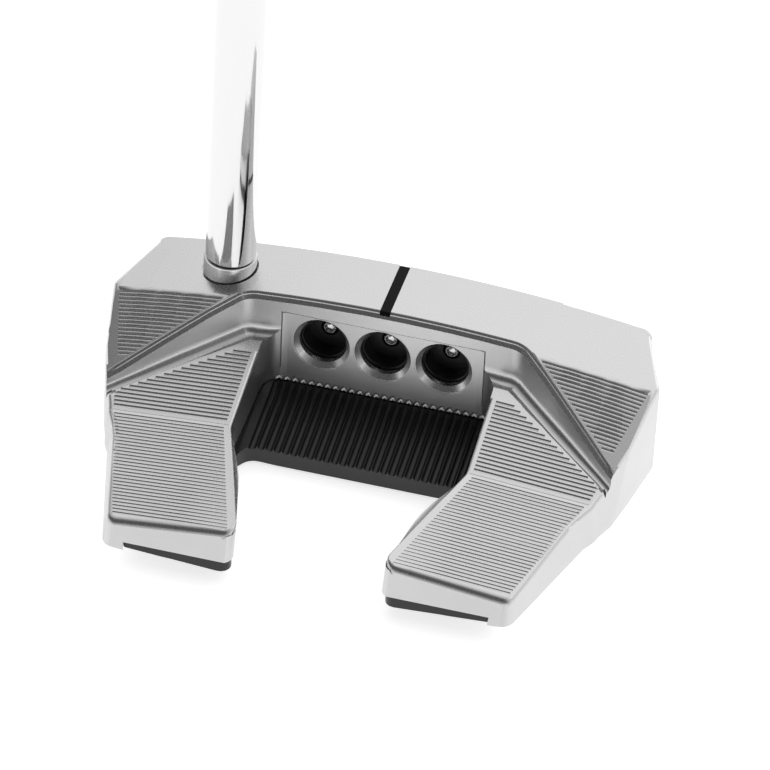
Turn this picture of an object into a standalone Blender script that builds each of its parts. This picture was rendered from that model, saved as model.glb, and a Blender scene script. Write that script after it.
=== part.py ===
"""Mallet putter: a milled steel body with two swept wings, a dark aluminium sole
flange, a short neck post, a bent steel shaft and a rubber grip.

Frame: metres, +Z up, +Y towards the target (the face), +X towards the toe.
The origin is the centre of the flat land of the sole.
"""

from math import atan2, cos, pi, radians, sin, tan

import bpy
from mathutils import Matrix, Vector

MM = 0.001
GAP = 0.3  # clearance between touching pieces

# Head, in millimetres
TOP_Z = 25.6
CROWN_R = 270.0
LOFT = radians(3.5)
FACE_Y = 16.0  # top edge of the face
FACE_HALF = 46.5
WIDE_HALF = 52.0
WIDE_Y = 2.0
CREASE_Y = -21.1
CREASE_HALF = 45.6
REAR_HALF = 37.4
REAR_Y = -47.6  # rear wall at REAR_Z, leaning out below it
REAR_Z = 8.0
REAR_SLOPE = 0.4

# Ribbed facets: height at the crease and slopes per millimetre
BAR_REAR_Y = 0.7
UPPER_SLOPE = 0.5
MID_Z = 12.4
MID_X = 22.5
MID_SLOPE = 0.245
PAD_SLOPE = 0.10
SIDE_SLOPE = 0.083

# Cavity between the wings
CAVITY_HALF = 22.0
CAVITY_REAR_HALF = 13.1
CAVITY_CORNER_R = 4.0
CAVITY_TOP = 21.8

# Lip line and the channel behind it
LIP_Y = 2.6
LIP_START = (25.9, 2.6)
LIP_END = (46.2, -13.5)
LIP_CORNER_R = 5.5
LIP_CHAMFER = 1.05
WALL_LEAN = tan(radians(5.0))
CHANNEL_R = 2.0
CHANNEL_DEEP = 0.6
CHANNEL_WIDTH = 5.0
CHANNEL_NARROWS = 1.8  # how much narrower it is at the outer side
ARC_STEPS = 4

# Leaning cavity face with its three holes, square to it
FACE_BACK_Y = 1.0  # at the holes' height
HOLE_PITCH = 11.6
HOLE_Z = 16.0
HOLE_R = 4.5
HOLE_CHAMFER_R = 5.5

# Tongue of the flange in its slot
SLOT_FRONT_Y = 9.9
SLOT_REAR_Y = 2.7
SLOT_TOP = 21.4
SLOT_HALF = 19.4
BORE_R = 4.0
BORE_DEEP = 5.7  # bore floor, measured from the cavity face along the hole
HEAD_SINK = 1.4  # how far the screw heads are let into the bore floor

# Sole
UNDER = -6.0  # below the whole head: where cutters start
OVER = 40.0  # above the whole head: where cutters end
LAND_HALF = 15.0
LAND_REAR = -8.0
SOLE_RISE_X = 0.04
SOLE_RISE_Y = 0.06
SOLE_TWIST = 0.0006
SKIRT_HALF = 34.2  # where the tail meets the steel foot
SKIRT_WIDTH = 3.8
FACE_SKIRT = 4.0
JOINT_Z = 6.5
JOINT_SLOPE = 0.03
FLOOR_FRONT_Y = -0.15
FLOOR_FRONT_Z = 7.0
FLOOR_REAR_Z = 4.4
FLOOR_HALF = 21.7
FLOOR_REAR_Y = -16.6
TAIL_INNER = 0.5

# Weight-saving pockets milled into the underside of the wings
ROOF = 3.0
POCKET = ((26.5, 38.5, -9.0), (26.5, 35.0, -32.0))  # inner x, outer x, y

# Screws and weights
HEAD_R = 1.4
HEAD_H = 1.5
SHANK_R = 0.75
SCREW_LEN = 4.2
WEIGHT_X = 35.0
WEIGHT_Y = 1.0
WEIGHT_R = 7.5
WEIGHT_RECESS = 0.3
WEIGHT_HEAD = 2.2
WEIGHT_SHANK_R = 5.0
WEIGHT_SHANK = 7.0
RING_R = 0.5
TAIL_SCREW_X = 25.0
TAIL_SCREW_Y = -38.0
TAIL_HEAD_R = 2.5
TAIL_HEAD_H = 1.2
TAIL_SHANK_R = 1.25
TAIL_LEN = 5.6
TAIL_RECESS = 0.25
HEX_ACROSS = 1.5
WEIGHT_HEX_ACROSS = 3.0

# Shaft and grip
SHAFT_X = -31.3
SHAFT_Y = 8.4
SHAFT_LEAN_X = radians(1.1)
SHAFT_LEAN_Y = radians(4.0)
COLLAR_R = 4.95
COLLAR_TOP = 2.9
COLLAR_SUNK = 0.9  # how far the collar is let into the top of the head
SPIGOT_R = 3.9
SPIGOT_UP = 18.0
NECK_R = 4.6
NECK_DEEP = 12.0
TIP_R = 4.7
BUTT_R = 7.6
SHAFT_WALL = 0.5
BEND_AT = 96.0
BEND_R = 75.0
LIE = radians(70.5)
CLUB_LENGTH = 864.0
GRIP_LENGTH = 267.0
TAPE = 0.3

SIGHT_HALF = 1.0
SIGHT_DEEP = 0.7

SIDES = ((-1, "heel"), (1, "toe"))
UP = (0.0, 0.0, 1.0)


def clear_scene():
    for obj in list(bpy.data.objects):
        bpy.data.objects.remove(obj)


def material(name, color, roughness, metallic):
    made = bpy.data.materials.new(name)
    made.use_nodes = True
    shader = made.node_tree.nodes["Principled BSDF"]
    shader.inputs["Base Color"].default_value = (*color, 1.0)
    shader.inputs["Roughness"].default_value = roughness
    shader.inputs["Metallic"].default_value = metallic
    made.diffuse_color = (*color, 1.0)
    return made


def solid(name, points, faces):
    """An object from millimetre points and faces, its normals made to face out."""
    mesh = bpy.data.meshes.new(name)
    mesh.from_pydata([tuple(c * MM for c in p) for p in points], [], faces)
    mesh.validate()
    obj = bpy.data.objects.new(name, mesh)
    bpy.context.scene.collection.objects.link(obj)
    bpy.context.view_layer.objects.active = obj
    bpy.ops.object.select_all(action="DESELECT")
    obj.select_set(True)
    bpy.ops.object.mode_set(mode="EDIT")
    bpy.ops.mesh.select_all(action="SELECT")
    bpy.ops.mesh.quads_convert_to_tris()
    bpy.ops.mesh.normals_make_consistent(inside=False)
    bpy.ops.object.mode_set(mode="OBJECT")
    return obj


def loft(name, rings):
    """A closed solid through rings of equal length, capped at both ends."""
    count = len(rings[0])
    points = [p for ring in rings for p in ring]
    faces = [tuple(range(count)), tuple(range((len(rings) - 1) * count, len(rings) * count))]
    for r in range(len(rings) - 1):
        low = r * count
        for i in range(count):
            j = (i + 1) % count
            faces.append((low + i, low + j, low + count + j, low + count + i))
    return solid(name, points, faces)


def tube(name, outer, inner):
    """A closed solid between two lofts of rings, joined at both ends."""
    count = len(outer[0])
    rings = outer + inner[::-1]
    points = [p for ring in rings for p in ring]
    faces = []
    for r in range(len(rings)):
        low = r * count
        high = ((r + 1) % len(rings)) * count
        for i in range(count):
            j = (i + 1) % count
            faces.append((low + i, low + j, high + j, high + i))
    return solid(name, points, faces)


def rounded(corners, steps=5):
    """Outline through (x, y, radius) corners, each radius turned into an arc."""
    outline = []
    for i, (x, y, radius) in enumerate(corners):
        here = Vector((x, y))
        back = (Vector(corners[i - 1][:2]) - here).normalized()
        ahead = (Vector(corners[(i + 1) % len(corners)][:2]) - here).normalized()
        if radius == 0:
            outline.append((x, y))
            continue
        half = back.angle(ahead) / 2
        centre = here + (back + ahead).normalized() * (radius / sin(half))
        start = here + back * (radius / tan(half)) - centre
        end = here + ahead * (radius / tan(half)) - centre
        turn = start.angle_signed(end)
        for s in range(steps + 1):
            swung = Matrix.Rotation(-turn * s / steps, 2) @ start
            outline.append(tuple(centre + swung))
    return outline


def mirrored(corners):
    """The toe half's corners followed by the heel half's, as one closed loop."""
    return corners + [(-x, y, r) for x, y, r in reversed(corners)]


def disc(centre, axis, radius, count=24):
    """Points of a circle about an axis."""
    axis = Vector(axis).normalized()
    side = axis.orthogonal().normalized()
    up = axis.cross(side)
    centre = Vector(centre)
    turns = [2 * pi * i / count for i in range(count)]
    return [tuple(centre + radius * (cos(a) * side + sin(a) * up)) for a in turns]


def turned(name, origin, axis, profile, count=24):
    """A solid of revolution: profile is (distance along the axis, radius) pairs."""
    axis = Vector(axis).normalized()
    origin = Vector(origin)
    return loft(name, [disc(origin + axis * t, axis, r, count) for t, r in profile])


def hexagon(name, origin, axis, across, depth):
    """A hexagonal cutter, across flats, starting at origin and going along axis."""
    axis = Vector(axis).normalized()
    origin = Vector(origin)
    radius = across / 2 / cos(pi / 6)
    return loft(name, [disc(origin, axis, radius, 6), disc(origin + axis * depth, axis, radius, 6)])


def combine(obj, others, operation):
    """Adds one live Boolean for each cutter or addition, and hides them."""
    for other in others:
        modifier = obj.modifiers.new(other.name, "BOOLEAN")
        modifier.operation = operation
        modifier.object = other
        other.hide_render = True
        other.display_type = "WIRE"


def cut(obj, *cutters):
    combine(obj, cutters, "DIFFERENCE")


def join(obj, *added):
    combine(obj, added, "UNION")


def finish(obj, look):
    obj.data.materials.clear()
    obj.data.materials.append(look)
    return obj


def straight(start, stop, radius):
    """Profile of a clearance hole around a shank of this radius."""
    return [(start, radius + GAP), (stop, radius + GAP)]


# Surfaces of the head


def crown(x):
    return TOP_Z - CROWN_R + (CROWN_R**2 - x**2) ** 0.5


def upper(x, y):
    """Plain crowned bar, then the steep ribbed facet behind it."""
    return crown(x) - UPPER_SLOPE * max(0.0, BAR_REAR_Y - y)


def wing(x, y):
    """Mid facet in front of the crease, flatter pad behind it."""
    slope = MID_SLOPE if y > CREASE_Y else PAD_SLOPE
    return MID_Z + slope * (y - CREASE_Y) - SIDE_SLOPE * (abs(x) - MID_X)


def sole(x, y):
    """Flat land that rises gently to heel, toe and tails."""
    side = max(0.0, abs(x) - LAND_HALF)
    rear = max(0.0, LAND_REAR - y)
    return SOLE_RISE_X * side + SOLE_RISE_Y * rear + SOLE_TWIST * side * rear


def joint(y):
    """Parting plane between the steel and the flange."""
    return JOINT_Z + JOINT_SLOPE * y


def rear_y(z):
    return REAR_Y - REAR_SLOPE * (REAR_Z - z)


def cavity_face_y(z):
    return FACE_BACK_Y + WALL_LEAN * (z - HOLE_Z)


def face_y(z):
    return FACE_Y + (TOP_Z - z) * tan(LOFT)


def outline_at(z):
    """Plan outline of the steel body at a height."""
    low = 0.025 * (TOP_Z - z)
    spread = 0.08 * (MID_Z - z)
    return rounded(
        mirrored(
            [
                (FACE_HALF, face_y(z), 2.0),
                (WIDE_HALF - low, WIDE_Y, 2.5),
                (CREASE_HALF + spread, CREASE_Y, 20.0),
                (REAR_HALF + 0.046 * (REAR_Z - z), rear_y(z), 2.2),
            ]
        )
    )


def cavity_cut():
    """Cutter for the space between the wings: leaning face, round corners, flared rear."""
    rings = []
    for z in (UNDER, CAVITY_TOP):
        corners = [
            (CAVITY_HALF, cavity_face_y(z), CAVITY_CORNER_R),
            (CAVITY_HALF, CREASE_Y, 5.0),
            (CAVITY_REAR_HALF, rear_y(z), 2.2),
            (CAVITY_REAR_HALF + 9.0, rear_y(z) - 1.0, 0.0),
            (CAVITY_REAR_HALF + 9.0, -70.0, 0.0),
        ]
        rings.append([(x, y, z) for x, y in rounded(mirrored(corners))])
    return loft("cavity_cut", rings)


def slab(name, xs, ys, low, high):
    """A solid over a grid, between two height functions."""
    rings = []
    for x in xs:
        lower = [(x, y, low(x, y)) for y in ys]
        rings.append(lower + [(x, y, high(x, y)) for y in reversed(ys)])
    return loft(name, rings)


def box_between(name, low, high):
    (x0, y0, z0), (x1, y1, z1) = low, high
    rings = [[(x0, y0, z), (x1, y0, z), (x1, y1, z), (x0, y1, z)] for z in (z0, z1)]
    return loft(name, rings)


def spaced(start, stop, count):
    return [start + (stop - start) * i / (count - 1) for i in range(count)]


def lip_path(steps=6):
    """Points of the toe half's lip line with their rearward normals, wall first."""
    heading = Vector(LIP_END) - Vector(LIP_START)
    turn = atan2(-heading.y, heading.x)
    reach = LIP_CORNER_R * tan(turn / 2)
    centre = Vector((LIP_START[0] - reach, LIP_Y - LIP_CORNER_R))
    path = [((x, LIP_Y), (0.0, -1.0)) for x in (4.0, 12.0, 18.0)]
    for s in range(steps + 1):
        a = turn * s / steps
        normal = Vector((-sin(a), -cos(a)))
        path.append((tuple(centre - normal * LIP_CORNER_R), tuple(normal)))
    normal = Vector((-sin(turn), -cos(turn)))
    along = heading.normalized()
    start = Vector(LIP_START)
    for far in (8.0, 14.0, 20.0, heading.length, heading.length + 8.0):
        path.append((tuple(start + along * far), tuple(normal)))
    return path


def channel_cut():
    """Cutter for the lip's chamfer, the wall and the round-bottomed channel, heel to toe."""
    toe_half = lip_path()
    heel_half = [((-x, y), (-nx, ny)) for (x, y), (nx, ny) in reversed(toe_half)]
    rings = []
    for (x, y), (nx, ny) in heel_half + toe_half:
        reach = min(1.0, max(0.0, (abs(x) - LIP_START[0]) / 20.0))
        width = CHANNEL_WIDTH - CHANNEL_NARROWS * reach
        radius = min(CHANNEL_R, width - LIP_CHAMFER - 0.8)
        edge = wing(x + nx * width, y + ny * width)
        floor = edge - CHANNEL_DEEP
        top = max(upper(x, y), floor + radius + LIP_CHAMFER + 0.2)
        profile = [(-3.0, OVER), (-3.0, top + 3.0), (LIP_CHAMFER, top - LIP_CHAMFER)]
        wall = LIP_CHAMFER + WALL_LEAN * (top - LIP_CHAMFER - floor - radius)
        for s in range(ARC_STEPS + 1):
            a = pi / 2 * s / ARC_STEPS
            profile.append((wall + radius * (1 - cos(a)), floor + radius * (1 - sin(a))))
        rise = CHANNEL_DEEP / (width - wall - radius)
        profile += [(width + 0.5, edge + 0.5 * rise), (width + 0.5, OVER)]
        rings.append([(x + nx * d, y + ny * d, z) for d, z in profile])
    return loft("channel_cut", rings)


def facet_cut(side):
    """Cutter above the steep facet, ending inside the channel."""
    heading = Vector(LIP_END) - Vector(LIP_START)
    rings = []
    for x in spaced(LIP_START[0] - 1.5, WIDE_HALF + 4.0, 8):
        rear = LIP_START[1] + heading.y / heading.x * (x - LIP_START[0]) - 2.2
        rear = min(rear, BAR_REAR_Y - 0.2)
        rings.append(
            [
                (side * x, BAR_REAR_Y, crown(x)),
                (side * x, rear, upper(x, rear)),
                (side * x, rear, OVER),
                (side * x, BAR_REAR_Y, OVER),
            ]
        )
    return loft(f"facet_cut_{side}", rings)


def wing_cut(side):
    """Cutter above the mid facet and the pad, starting inside the channel."""
    heading = Vector(LIP_END) - Vector(LIP_START)
    slope = heading.y / heading.x
    rings = []
    for x in (-1.0, 24.5, 48.5):
        front = min(-0.4, LIP_START[1] + slope * (x - LIP_START[0]) - 3.2)
        ys = [front, CREASE_Y, -60.0]
        low = [(side * x, y, wing(x, y)) for y in ys]
        rings.append(low + [(side * x, y, OVER) for y in reversed(ys)])
    return loft(f"wing_cut_{side}", rings)


def pocket_cut(side):
    """Cutter for the pocket under one wing, its roof parallel to the facets."""
    rings = []
    (inner_0, outer_0, front), (inner_1, outer_1, rear) = POCKET
    for y in (front, CREASE_Y, rear):
        share = (front - y) / (front - rear)
        inner = inner_0 + (inner_1 - inner_0) * share
        outer = outer_0 + (outer_1 - outer_0) * share
        roof = [(side * x, y, wing(x, y) - ROOF) for x in (outer, inner)]
        rings.append([(side * inner, y, UNDER), (side * outer, y, UNDER)] + roof)
    return loft(f"pocket_cut_{side}", rings)


def head_body(steel):
    body = loft("face_body", [[(x, y, z) for x, y in outline_at(z)] for z in (UNDER, OVER)])
    sole_ys = [-58.0, LAND_REAR, 24.0]
    xs = [-56.0, -50.0, -44.0, -38.0, -32.0, -26.0, -20.5, -LAND_HALF, -10.0, -5.0, 0.0]
    xs += [-x for x in reversed(xs[:-1])]
    envelope = slab("envelope", xs, sole_ys, sole, lambda x, y: crown(x))
    combine(body, [envelope], "INTERSECT")
    cut(body, channel_cut())
    for side in (1, -1):
        cut(body, facet_cut(side), wing_cut(side), pocket_cut(side))
    slot_low, slot_high = (-SLOT_HALF, SLOT_REAR_Y, UNDER), (SLOT_HALF, SLOT_FRONT_Y, SLOT_TOP)
    cut(body, cavity_cut(), box_between("slot_cut", slot_low, slot_high), flange_room())
    chamfer = HOLE_CHAMFER_R - HOLE_R
    mouth = [(-1.0, HOLE_CHAMFER_R + 1.0), (chamfer, HOLE_R), (3.0, HOLE_R)]
    start = BORE_DEEP + HEAD_H
    thread = [(start, SHANK_R + GAP), (start + SCREW_LEN + GAP, SHANK_R + GAP)]
    for i in (-1, 0, 1):
        cut(body, along_hole(f"hole_cut_{i}", i, mouth, 48))
        cut(body, along_hole(f"tapped_cut_{i}", i, thread, 12))
    cut(body, neck_bore())
    weight_hole = straight(0.0, weight_base() + WEIGHT_HEAD + WEIGHT_SHANK + 0.5, WEIGHT_SHANK_R)
    tail_base = sole(TAIL_SCREW_X, TAIL_SCREW_Y) + TAIL_RECESS
    tail_hole = straight(0.0, tail_base + TAIL_LEN + 0.5, TAIL_SHANK_R)
    for side, name in SIDES:
        weight_at = (side * WEIGHT_X, WEIGHT_Y, 0.0)
        tail_at = (side * TAIL_SCREW_X, TAIL_SCREW_Y, 0.0)
        cut(body, turned(f"{name}_thread_cut", weight_at, UP, weight_hole))
        cut(body, turned(f"{name}_tail_cut", tail_at, UP, tail_hole, 12))
    groove_low = (-SIGHT_HALF, LIP_Y - 2.0, TOP_Z - SIGHT_DEEP)
    cut(body, box_between("sight_cut", groove_low, (SIGHT_HALF, FACE_Y + 3.0, OVER)))
    return finish(body, steel)


def along_hole(name, index, profile, count):
    """A turned solid on the axis of one of the three holes, from the cavity face inwards."""
    origin = (index * HOLE_PITCH, FACE_BACK_Y, HOLE_Z)
    return turned(name, origin, (0.0, 1.0, -WALL_LEAN), profile, count)


def shaft_axis():
    lean = Vector((sin(SHAFT_LEAN_X), sin(SHAFT_LEAN_Y), 1.0))
    return lean.normalized()


def neck_base():
    return Vector((SHAFT_X, SHAFT_Y, crown(SHAFT_X)))


def neck_bore():
    axis = shaft_axis()
    shoulder = -COLLAR_SUNK - GAP
    profile = straight(-NECK_DEEP - GAP, shoulder, NECK_R) + straight(shoulder, 6.0, COLLAR_R)
    return turned("neck_cut", neck_base(), axis, profile, 48)


def flange_outline():
    """Plan of the flange: bar under the face, two tails, open between them."""
    rear = REAR_Y - 0.9
    skirt = skirt_corners(GAP)
    tail = [
        (SKIRT_HALF - GAP, rear, 0.6),
        (CAVITY_REAR_HALF + TAIL_INNER, rear, 2.0),
        (CAVITY_HALF + TAIL_INNER, CREASE_Y, 4.0),
        (CAVITY_HALF - 2.0, FLOOR_REAR_Y, 3.0),
    ]
    return rounded(mirrored(skirt + tail))


def skirt_corners(inset):
    """Corners of the line where the steel's skirt meets the flange, toe half."""
    return [
        (FACE_HALF - 6.0 - inset, FACE_Y - FACE_SKIRT - inset, 3.0),
        (WIDE_HALF - 5.0 - inset, WIDE_Y - 1.0, 3.0),
        (CREASE_HALF - SKIRT_WIDTH - inset, CREASE_Y, 10.0),
    ]


def flange_room():
    """Cutter for the room under the steel that the flange fills, open to the rear."""
    crease_x, crease_y = skirt_corners(0.0)[-1][:2]
    beyond = SKIRT_HALF + (SKIRT_HALF - crease_x) * 12.0 / (crease_y - REAR_Y)
    outline = rounded(mirrored(skirt_corners(0.0) + [(beyond, REAR_Y - 12.0, 0.0)]))
    return loft(
        "flange_cut",
        [[(x, y, UNDER) for x, y in outline], [(x, y, joint(y)) for x, y in outline]],
    )


def flange(black):
    outline = flange_outline()
    body = loft(
        "sole_flange",
        [[(x, y, UNDER) for x, y in outline], [(x, y, joint(y) - GAP) for x, y in outline]],
    )
    xs = [-56.0, -45.0, -35.0, -25.0, -LAND_HALF, 0.0, LAND_HALF, 25.0, 35.0, 45.0, 56.0]
    under = slab("sole_surface", xs, [-58.0, LAND_REAR, 24.0], sole, lambda x, y: OVER)
    tongue = box_between(
        "tongue",
        (-SLOT_HALF + GAP, SLOT_REAR_Y + GAP, 1.0),
        (SLOT_HALF - GAP, SLOT_FRONT_Y - GAP, SLOT_TOP - GAP),
    )
    corners = [(FLOOR_HALF, FLOOR_FRONT_Y, CAVITY_CORNER_R - GAP), (FLOOR_HALF, FLOOR_REAR_Y, 0.0)]
    plan = rounded(mirrored(corners))
    floor = loft("floor", [[(x, y, z) for x, y in plan] for z in (1.0, FLOOR_FRONT_Z + 2.0)])
    slope = (FLOOR_FRONT_Z - FLOOR_REAR_Z) / (FLOOR_FRONT_Y - FLOOR_REAR_Y)
    over = slab(
        "floor_cut",
        [-FLOOR_HALF - 0.15, FLOOR_HALF + 0.15],
        [FLOOR_REAR_Y - 4.0, FLOOR_FRONT_Y + 1.0],
        lambda x, y: FLOOR_FRONT_Z + slope * (y - FLOOR_FRONT_Y),
        lambda x, y: OVER,
    )
    join(body, floor)
    cut(body, over)
    join(body, tongue)
    combine(body, [under], "INTERSECT")
    cut_screw_bores(body)
    cut_seats(body)
    return finish(body, black)


def cut_screw_bores(body):
    """The three bores, each with a sink for the screw's head and a hole for its shank."""
    for i in (-1, 0, 1):
        bore = along_hole(f"bore_cut_{i}", i, [(0.0, BORE_R), (BORE_DEEP, BORE_R)], 48)
        sink = along_hole(f"sink_cut_{i}", i, straight(3.0, BORE_DEEP + HEAD_SINK, HEAD_R), 24)
        clear = along_hole(f"clear_cut_{i}", i, straight(3.0, 12.0, SHANK_R), 12)
        cut(body, bore, sink, clear)


def cut_seats(body):
    """Seats for the two weights and countersinks for the two tail screws."""
    seat_top = weight_base() + WEIGHT_HEAD + 2 * RING_R + 0.1 + GAP
    cone = TAIL_RECESS + 0.1
    sunk = straight(-1.0, cone, TAIL_HEAD_R) + straight(cone + 1.25, 6.0, TAIL_SHANK_R)
    for side, name in SIDES:
        at = (side * WEIGHT_X, WEIGHT_Y, 0.0)
        spot = (side * TAIL_SCREW_X, TAIL_SCREW_Y, sole(TAIL_SCREW_X, TAIL_SCREW_Y))
        cut(body, turned(f"{name}_seat_cut", at, UP, straight(-1.0, seat_top, WEIGHT_R), 48))
        cut(body, turned(f"{name}_clear_cut", at, UP, straight(-1.0, 12.0, WEIGHT_SHANK_R)))
        cut(body, turned(f"{name}_sink_cut", spot, UP, sunk))


def flange_screws(bright):
    top = BORE_DEEP + HEAD_SINK - HEAD_H - 0.05
    for i, name in ((-1, "heel"), (0, "centre"), (1, "toe")):
        profile = [
            (top, HEAD_R - 0.15),
            (top + 0.15, HEAD_R),
            (top + HEAD_H, HEAD_R),
            (top + HEAD_H, SHANK_R),
            (top + HEAD_H + SCREW_LEN, SHANK_R),
        ]
        screw = along_hole(f"flange_screw_{name}", i, profile, 24)
        axis = Vector((0.0, 1.0, -WALL_LEAN)).normalized()
        mouth = Vector((i * HOLE_PITCH, FACE_BACK_Y, HOLE_Z)) + axis * (top - 0.5)
        cut(screw, hexagon(f"screw_hex_{name}", mouth, axis, HEX_ACROSS, 1.4))
        finish(screw, bright)


def weight_base():
    """Height of the weights' outer face, just inside the sole."""
    return sole(WEIGHT_X, WEIGHT_Y) + WEIGHT_RECESS


def weights(bright, rubber):
    base = weight_base()
    neck = WEIGHT_SHANK_R - 0.6
    profile = [
        (0.0, WEIGHT_R - 0.4),
        (0.4, WEIGHT_R),
        (WEIGHT_HEAD, WEIGHT_R),
        (WEIGHT_HEAD, neck),
        (WEIGHT_HEAD + 2 * RING_R + 0.2, neck),
        (WEIGHT_HEAD + 2 * RING_R + 0.5, WEIGHT_SHANK_R),
        (WEIGHT_HEAD + WEIGHT_SHANK, WEIGHT_SHANK_R),
    ]
    ring_at = base + WEIGHT_HEAD + RING_R + 0.05
    for side, name in SIDES:
        at = Vector((side * WEIGHT_X, WEIGHT_Y, base))
        weight = turned(f"{name}_weight", at, UP, profile, 48)
        mouth = at - Vector(UP) * 0.5
        cut(weight, hexagon(f"{name}_weight_hex", mouth, UP, WEIGHT_HEX_ACROSS, 2.6))
        finish(weight, bright)
        middle = (at.x, at.y, ring_at)
        finish(ring(f"{name}_weight_ring", middle, neck + RING_R + 0.1, RING_R), rubber)


def ring(name, centre, radius, thickness, around=28, across=8):
    """A round ring lying flat, centred on a point."""
    rings = []
    for s in range(across):
        b = 2 * pi * s / across
        height = (centre[0], centre[1], centre[2] + thickness * sin(b))
        rings.append(disc(height, UP, radius + thickness * cos(b), around))
    return tube(name, rings[: across // 2], rings[: across // 2 - 1 : -1])


def tail_screws(bright):
    base = sole(TAIL_SCREW_X, TAIL_SCREW_Y) + TAIL_RECESS
    profile = [
        (0.0, TAIL_HEAD_R),
        (0.1, TAIL_HEAD_R),
        (0.1 + TAIL_HEAD_H, TAIL_SHANK_R),
        (TAIL_LEN, TAIL_SHANK_R),
    ]
    for side, name in SIDES:
        at = (side * TAIL_SCREW_X, TAIL_SCREW_Y, base)
        screw = turned(f"tail_screw_{name}", at, UP, profile)
        mouth = (at[0], at[1], base - 0.5)
        cut(screw, hexagon(f"tail_hex_{name}", mouth, UP, HEX_ACROSS, 1.4))
        finish(screw, bright)


def neck_post(steel):
    profile = [
        (-NECK_DEEP, NECK_R - 0.4),
        (-NECK_DEEP + 0.4, NECK_R),
        (-COLLAR_SUNK, NECK_R),
        (-COLLAR_SUNK, COLLAR_R),
        (COLLAR_TOP - 0.2, COLLAR_R),
        (COLLAR_TOP, COLLAR_R - 0.2),
        (COLLAR_TOP, SPIGOT_R),
        (SPIGOT_UP, SPIGOT_R),
    ]
    return finish(turned("neck_post", neck_base(), shaft_axis(), profile, 48), steel)


def shaft_line():
    """Centre line of the shaft from its foot to its butt, and the unit tangents."""
    low = shaft_axis()
    high = Vector((-cos(LIE), 0.0, sin(LIE)))
    start = neck_base() + low * (COLLAR_TOP + GAP)
    bend = low.angle(high)
    turn_axis = low.cross(high).normalized()
    line = [(start, low), (start + low * (SPIGOT_UP + 4.0), low)]
    here = start + low * BEND_AT
    line.append((here, low))
    centre = here + turn_axis.cross(low) * BEND_R
    steps = 8
    for s in range(1, steps + 1):
        turn = Matrix.Rotation(bend * s / steps, 3, turn_axis)
        line.append((centre + turn @ (here - centre), turn @ low))
    last, direction = line[-1]
    rest = CLUB_LENGTH - last.z / sin(LIE)
    grip_start = rest - GRIP_LENGTH
    for far in (grip_start * 0.5, grip_start, rest - GRIP_LENGTH * 0.5, rest - 6.0):
        line.append((last + direction * far, direction))
    return line


def shaft_radius(line, index):
    """Tip radius up to the bend, then a plain taper to the butt radius."""
    if index <= 2:
        return TIP_R
    travelled = sum((line[i + 1][0] - line[i][0]).length for i in range(2, index))
    whole = sum((line[i + 1][0] - line[i][0]).length for i in range(2, len(line) - 1))
    return TIP_R + (BUTT_R - TIP_R) * travelled / whole


def round_section(centre, tangent, radius, count):
    side = Vector((0.0, 1.0, 0.0))
    side = (side - tangent * side.dot(tangent)).normalized()
    up = tangent.cross(side)
    turns = [2 * pi * i / count for i in range(count)]
    return [tuple(centre + radius * (cos(a) * side + sin(a) * up)) for a in turns]


def shaft(chrome):
    line = shaft_line()
    radii = [shaft_radius(line, i) for i in range(len(line))]
    outer = [round_section(p, t, r, 24) for (p, t), r in zip(line, radii)]
    inner = [round_section(p, t, r - SHAFT_WALL, 24) for (p, t), r in zip(line, radii)]
    return finish(tube("shaft", outer, inner), chrome)


def grip_frame():
    """Start of the grip, its direction and the shaft radius there and at the butt."""
    line = shaft_line()
    butt, direction = line[-1]
    start = line[-3][0]
    return start, direction, (butt - start).length, shaft_radius(line, len(line) - 3)


def grip_section(centre, direction, half_wide, half_deep, flat, count=24):
    """Pistol section: round behind, flattened on the thumb side."""
    across = Vector((0.0, 1.0, 0.0))
    thumb = across.cross(direction).normalized()
    if thumb.x < 0:
        thumb = -thumb
    ring = []
    for i in range(count):
        a = 2 * pi * i / count
        y = half_wide * cos(a)
        t = min(half_deep * sin(a), half_deep * flat)
        ring.append(tuple(centre + across * y + thumb * t))
    return ring


def grip(rubber, tape_look):
    start, direction, length, radius = grip_frame()
    tape_outer, tape_inner = [], []
    for share in (0.0, 1.0):
        centre = start + direction * (1.0 + (length - 2.0) * share)
        shaft_r = radius + (BUTT_R - radius) * (1.0 + (length - 2.0) * share) / length
        tape_inner.append(round_section(centre, direction, shaft_r + 0.1, 24))
        tape_outer.append(round_section(centre, direction, shaft_r + 0.1 + TAPE, 24))
    finish(tube("grip_tape", tape_outer, tape_inner), tape_look)
    stations = [
        (0.0, 9.2, 9.2, 0.98),
        (2.0, 10.0, 10.0, 0.96),
        (0.35 * GRIP_LENGTH, 11.5, 12.0, 0.86),
        (0.65 * GRIP_LENGTH, 12.4, 14.2, 0.80),
        (0.90 * GRIP_LENGTH, 13.2, 16.4, 0.78),
        (GRIP_LENGTH - 3.0, 13.4, 16.6, 0.78),
        (GRIP_LENGTH, 12.0, 15.0, 0.78),
    ]
    rings = [grip_section(start + direction * far, direction, w, d, f) for far, w, d, f in stations]
    sleeve = loft("grip", rings)
    bore = loft(
        "grip_bore",
        [
            round_section(start - direction * 1.0, direction, radius + 2 * GAP + TAPE, 24),
            round_section(start + direction * (length + 1.0), direction, BUTT_R + 2 * GAP + TAPE, 24),
        ],
    )
    vent = turned("grip_vent", start + direction * (length - 2.0), direction, [(0.0, 1.5), (12.0, 1.5)], 12)
    cut(sleeve, bore, vent)
    return finish(sleeve, rubber)


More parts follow.
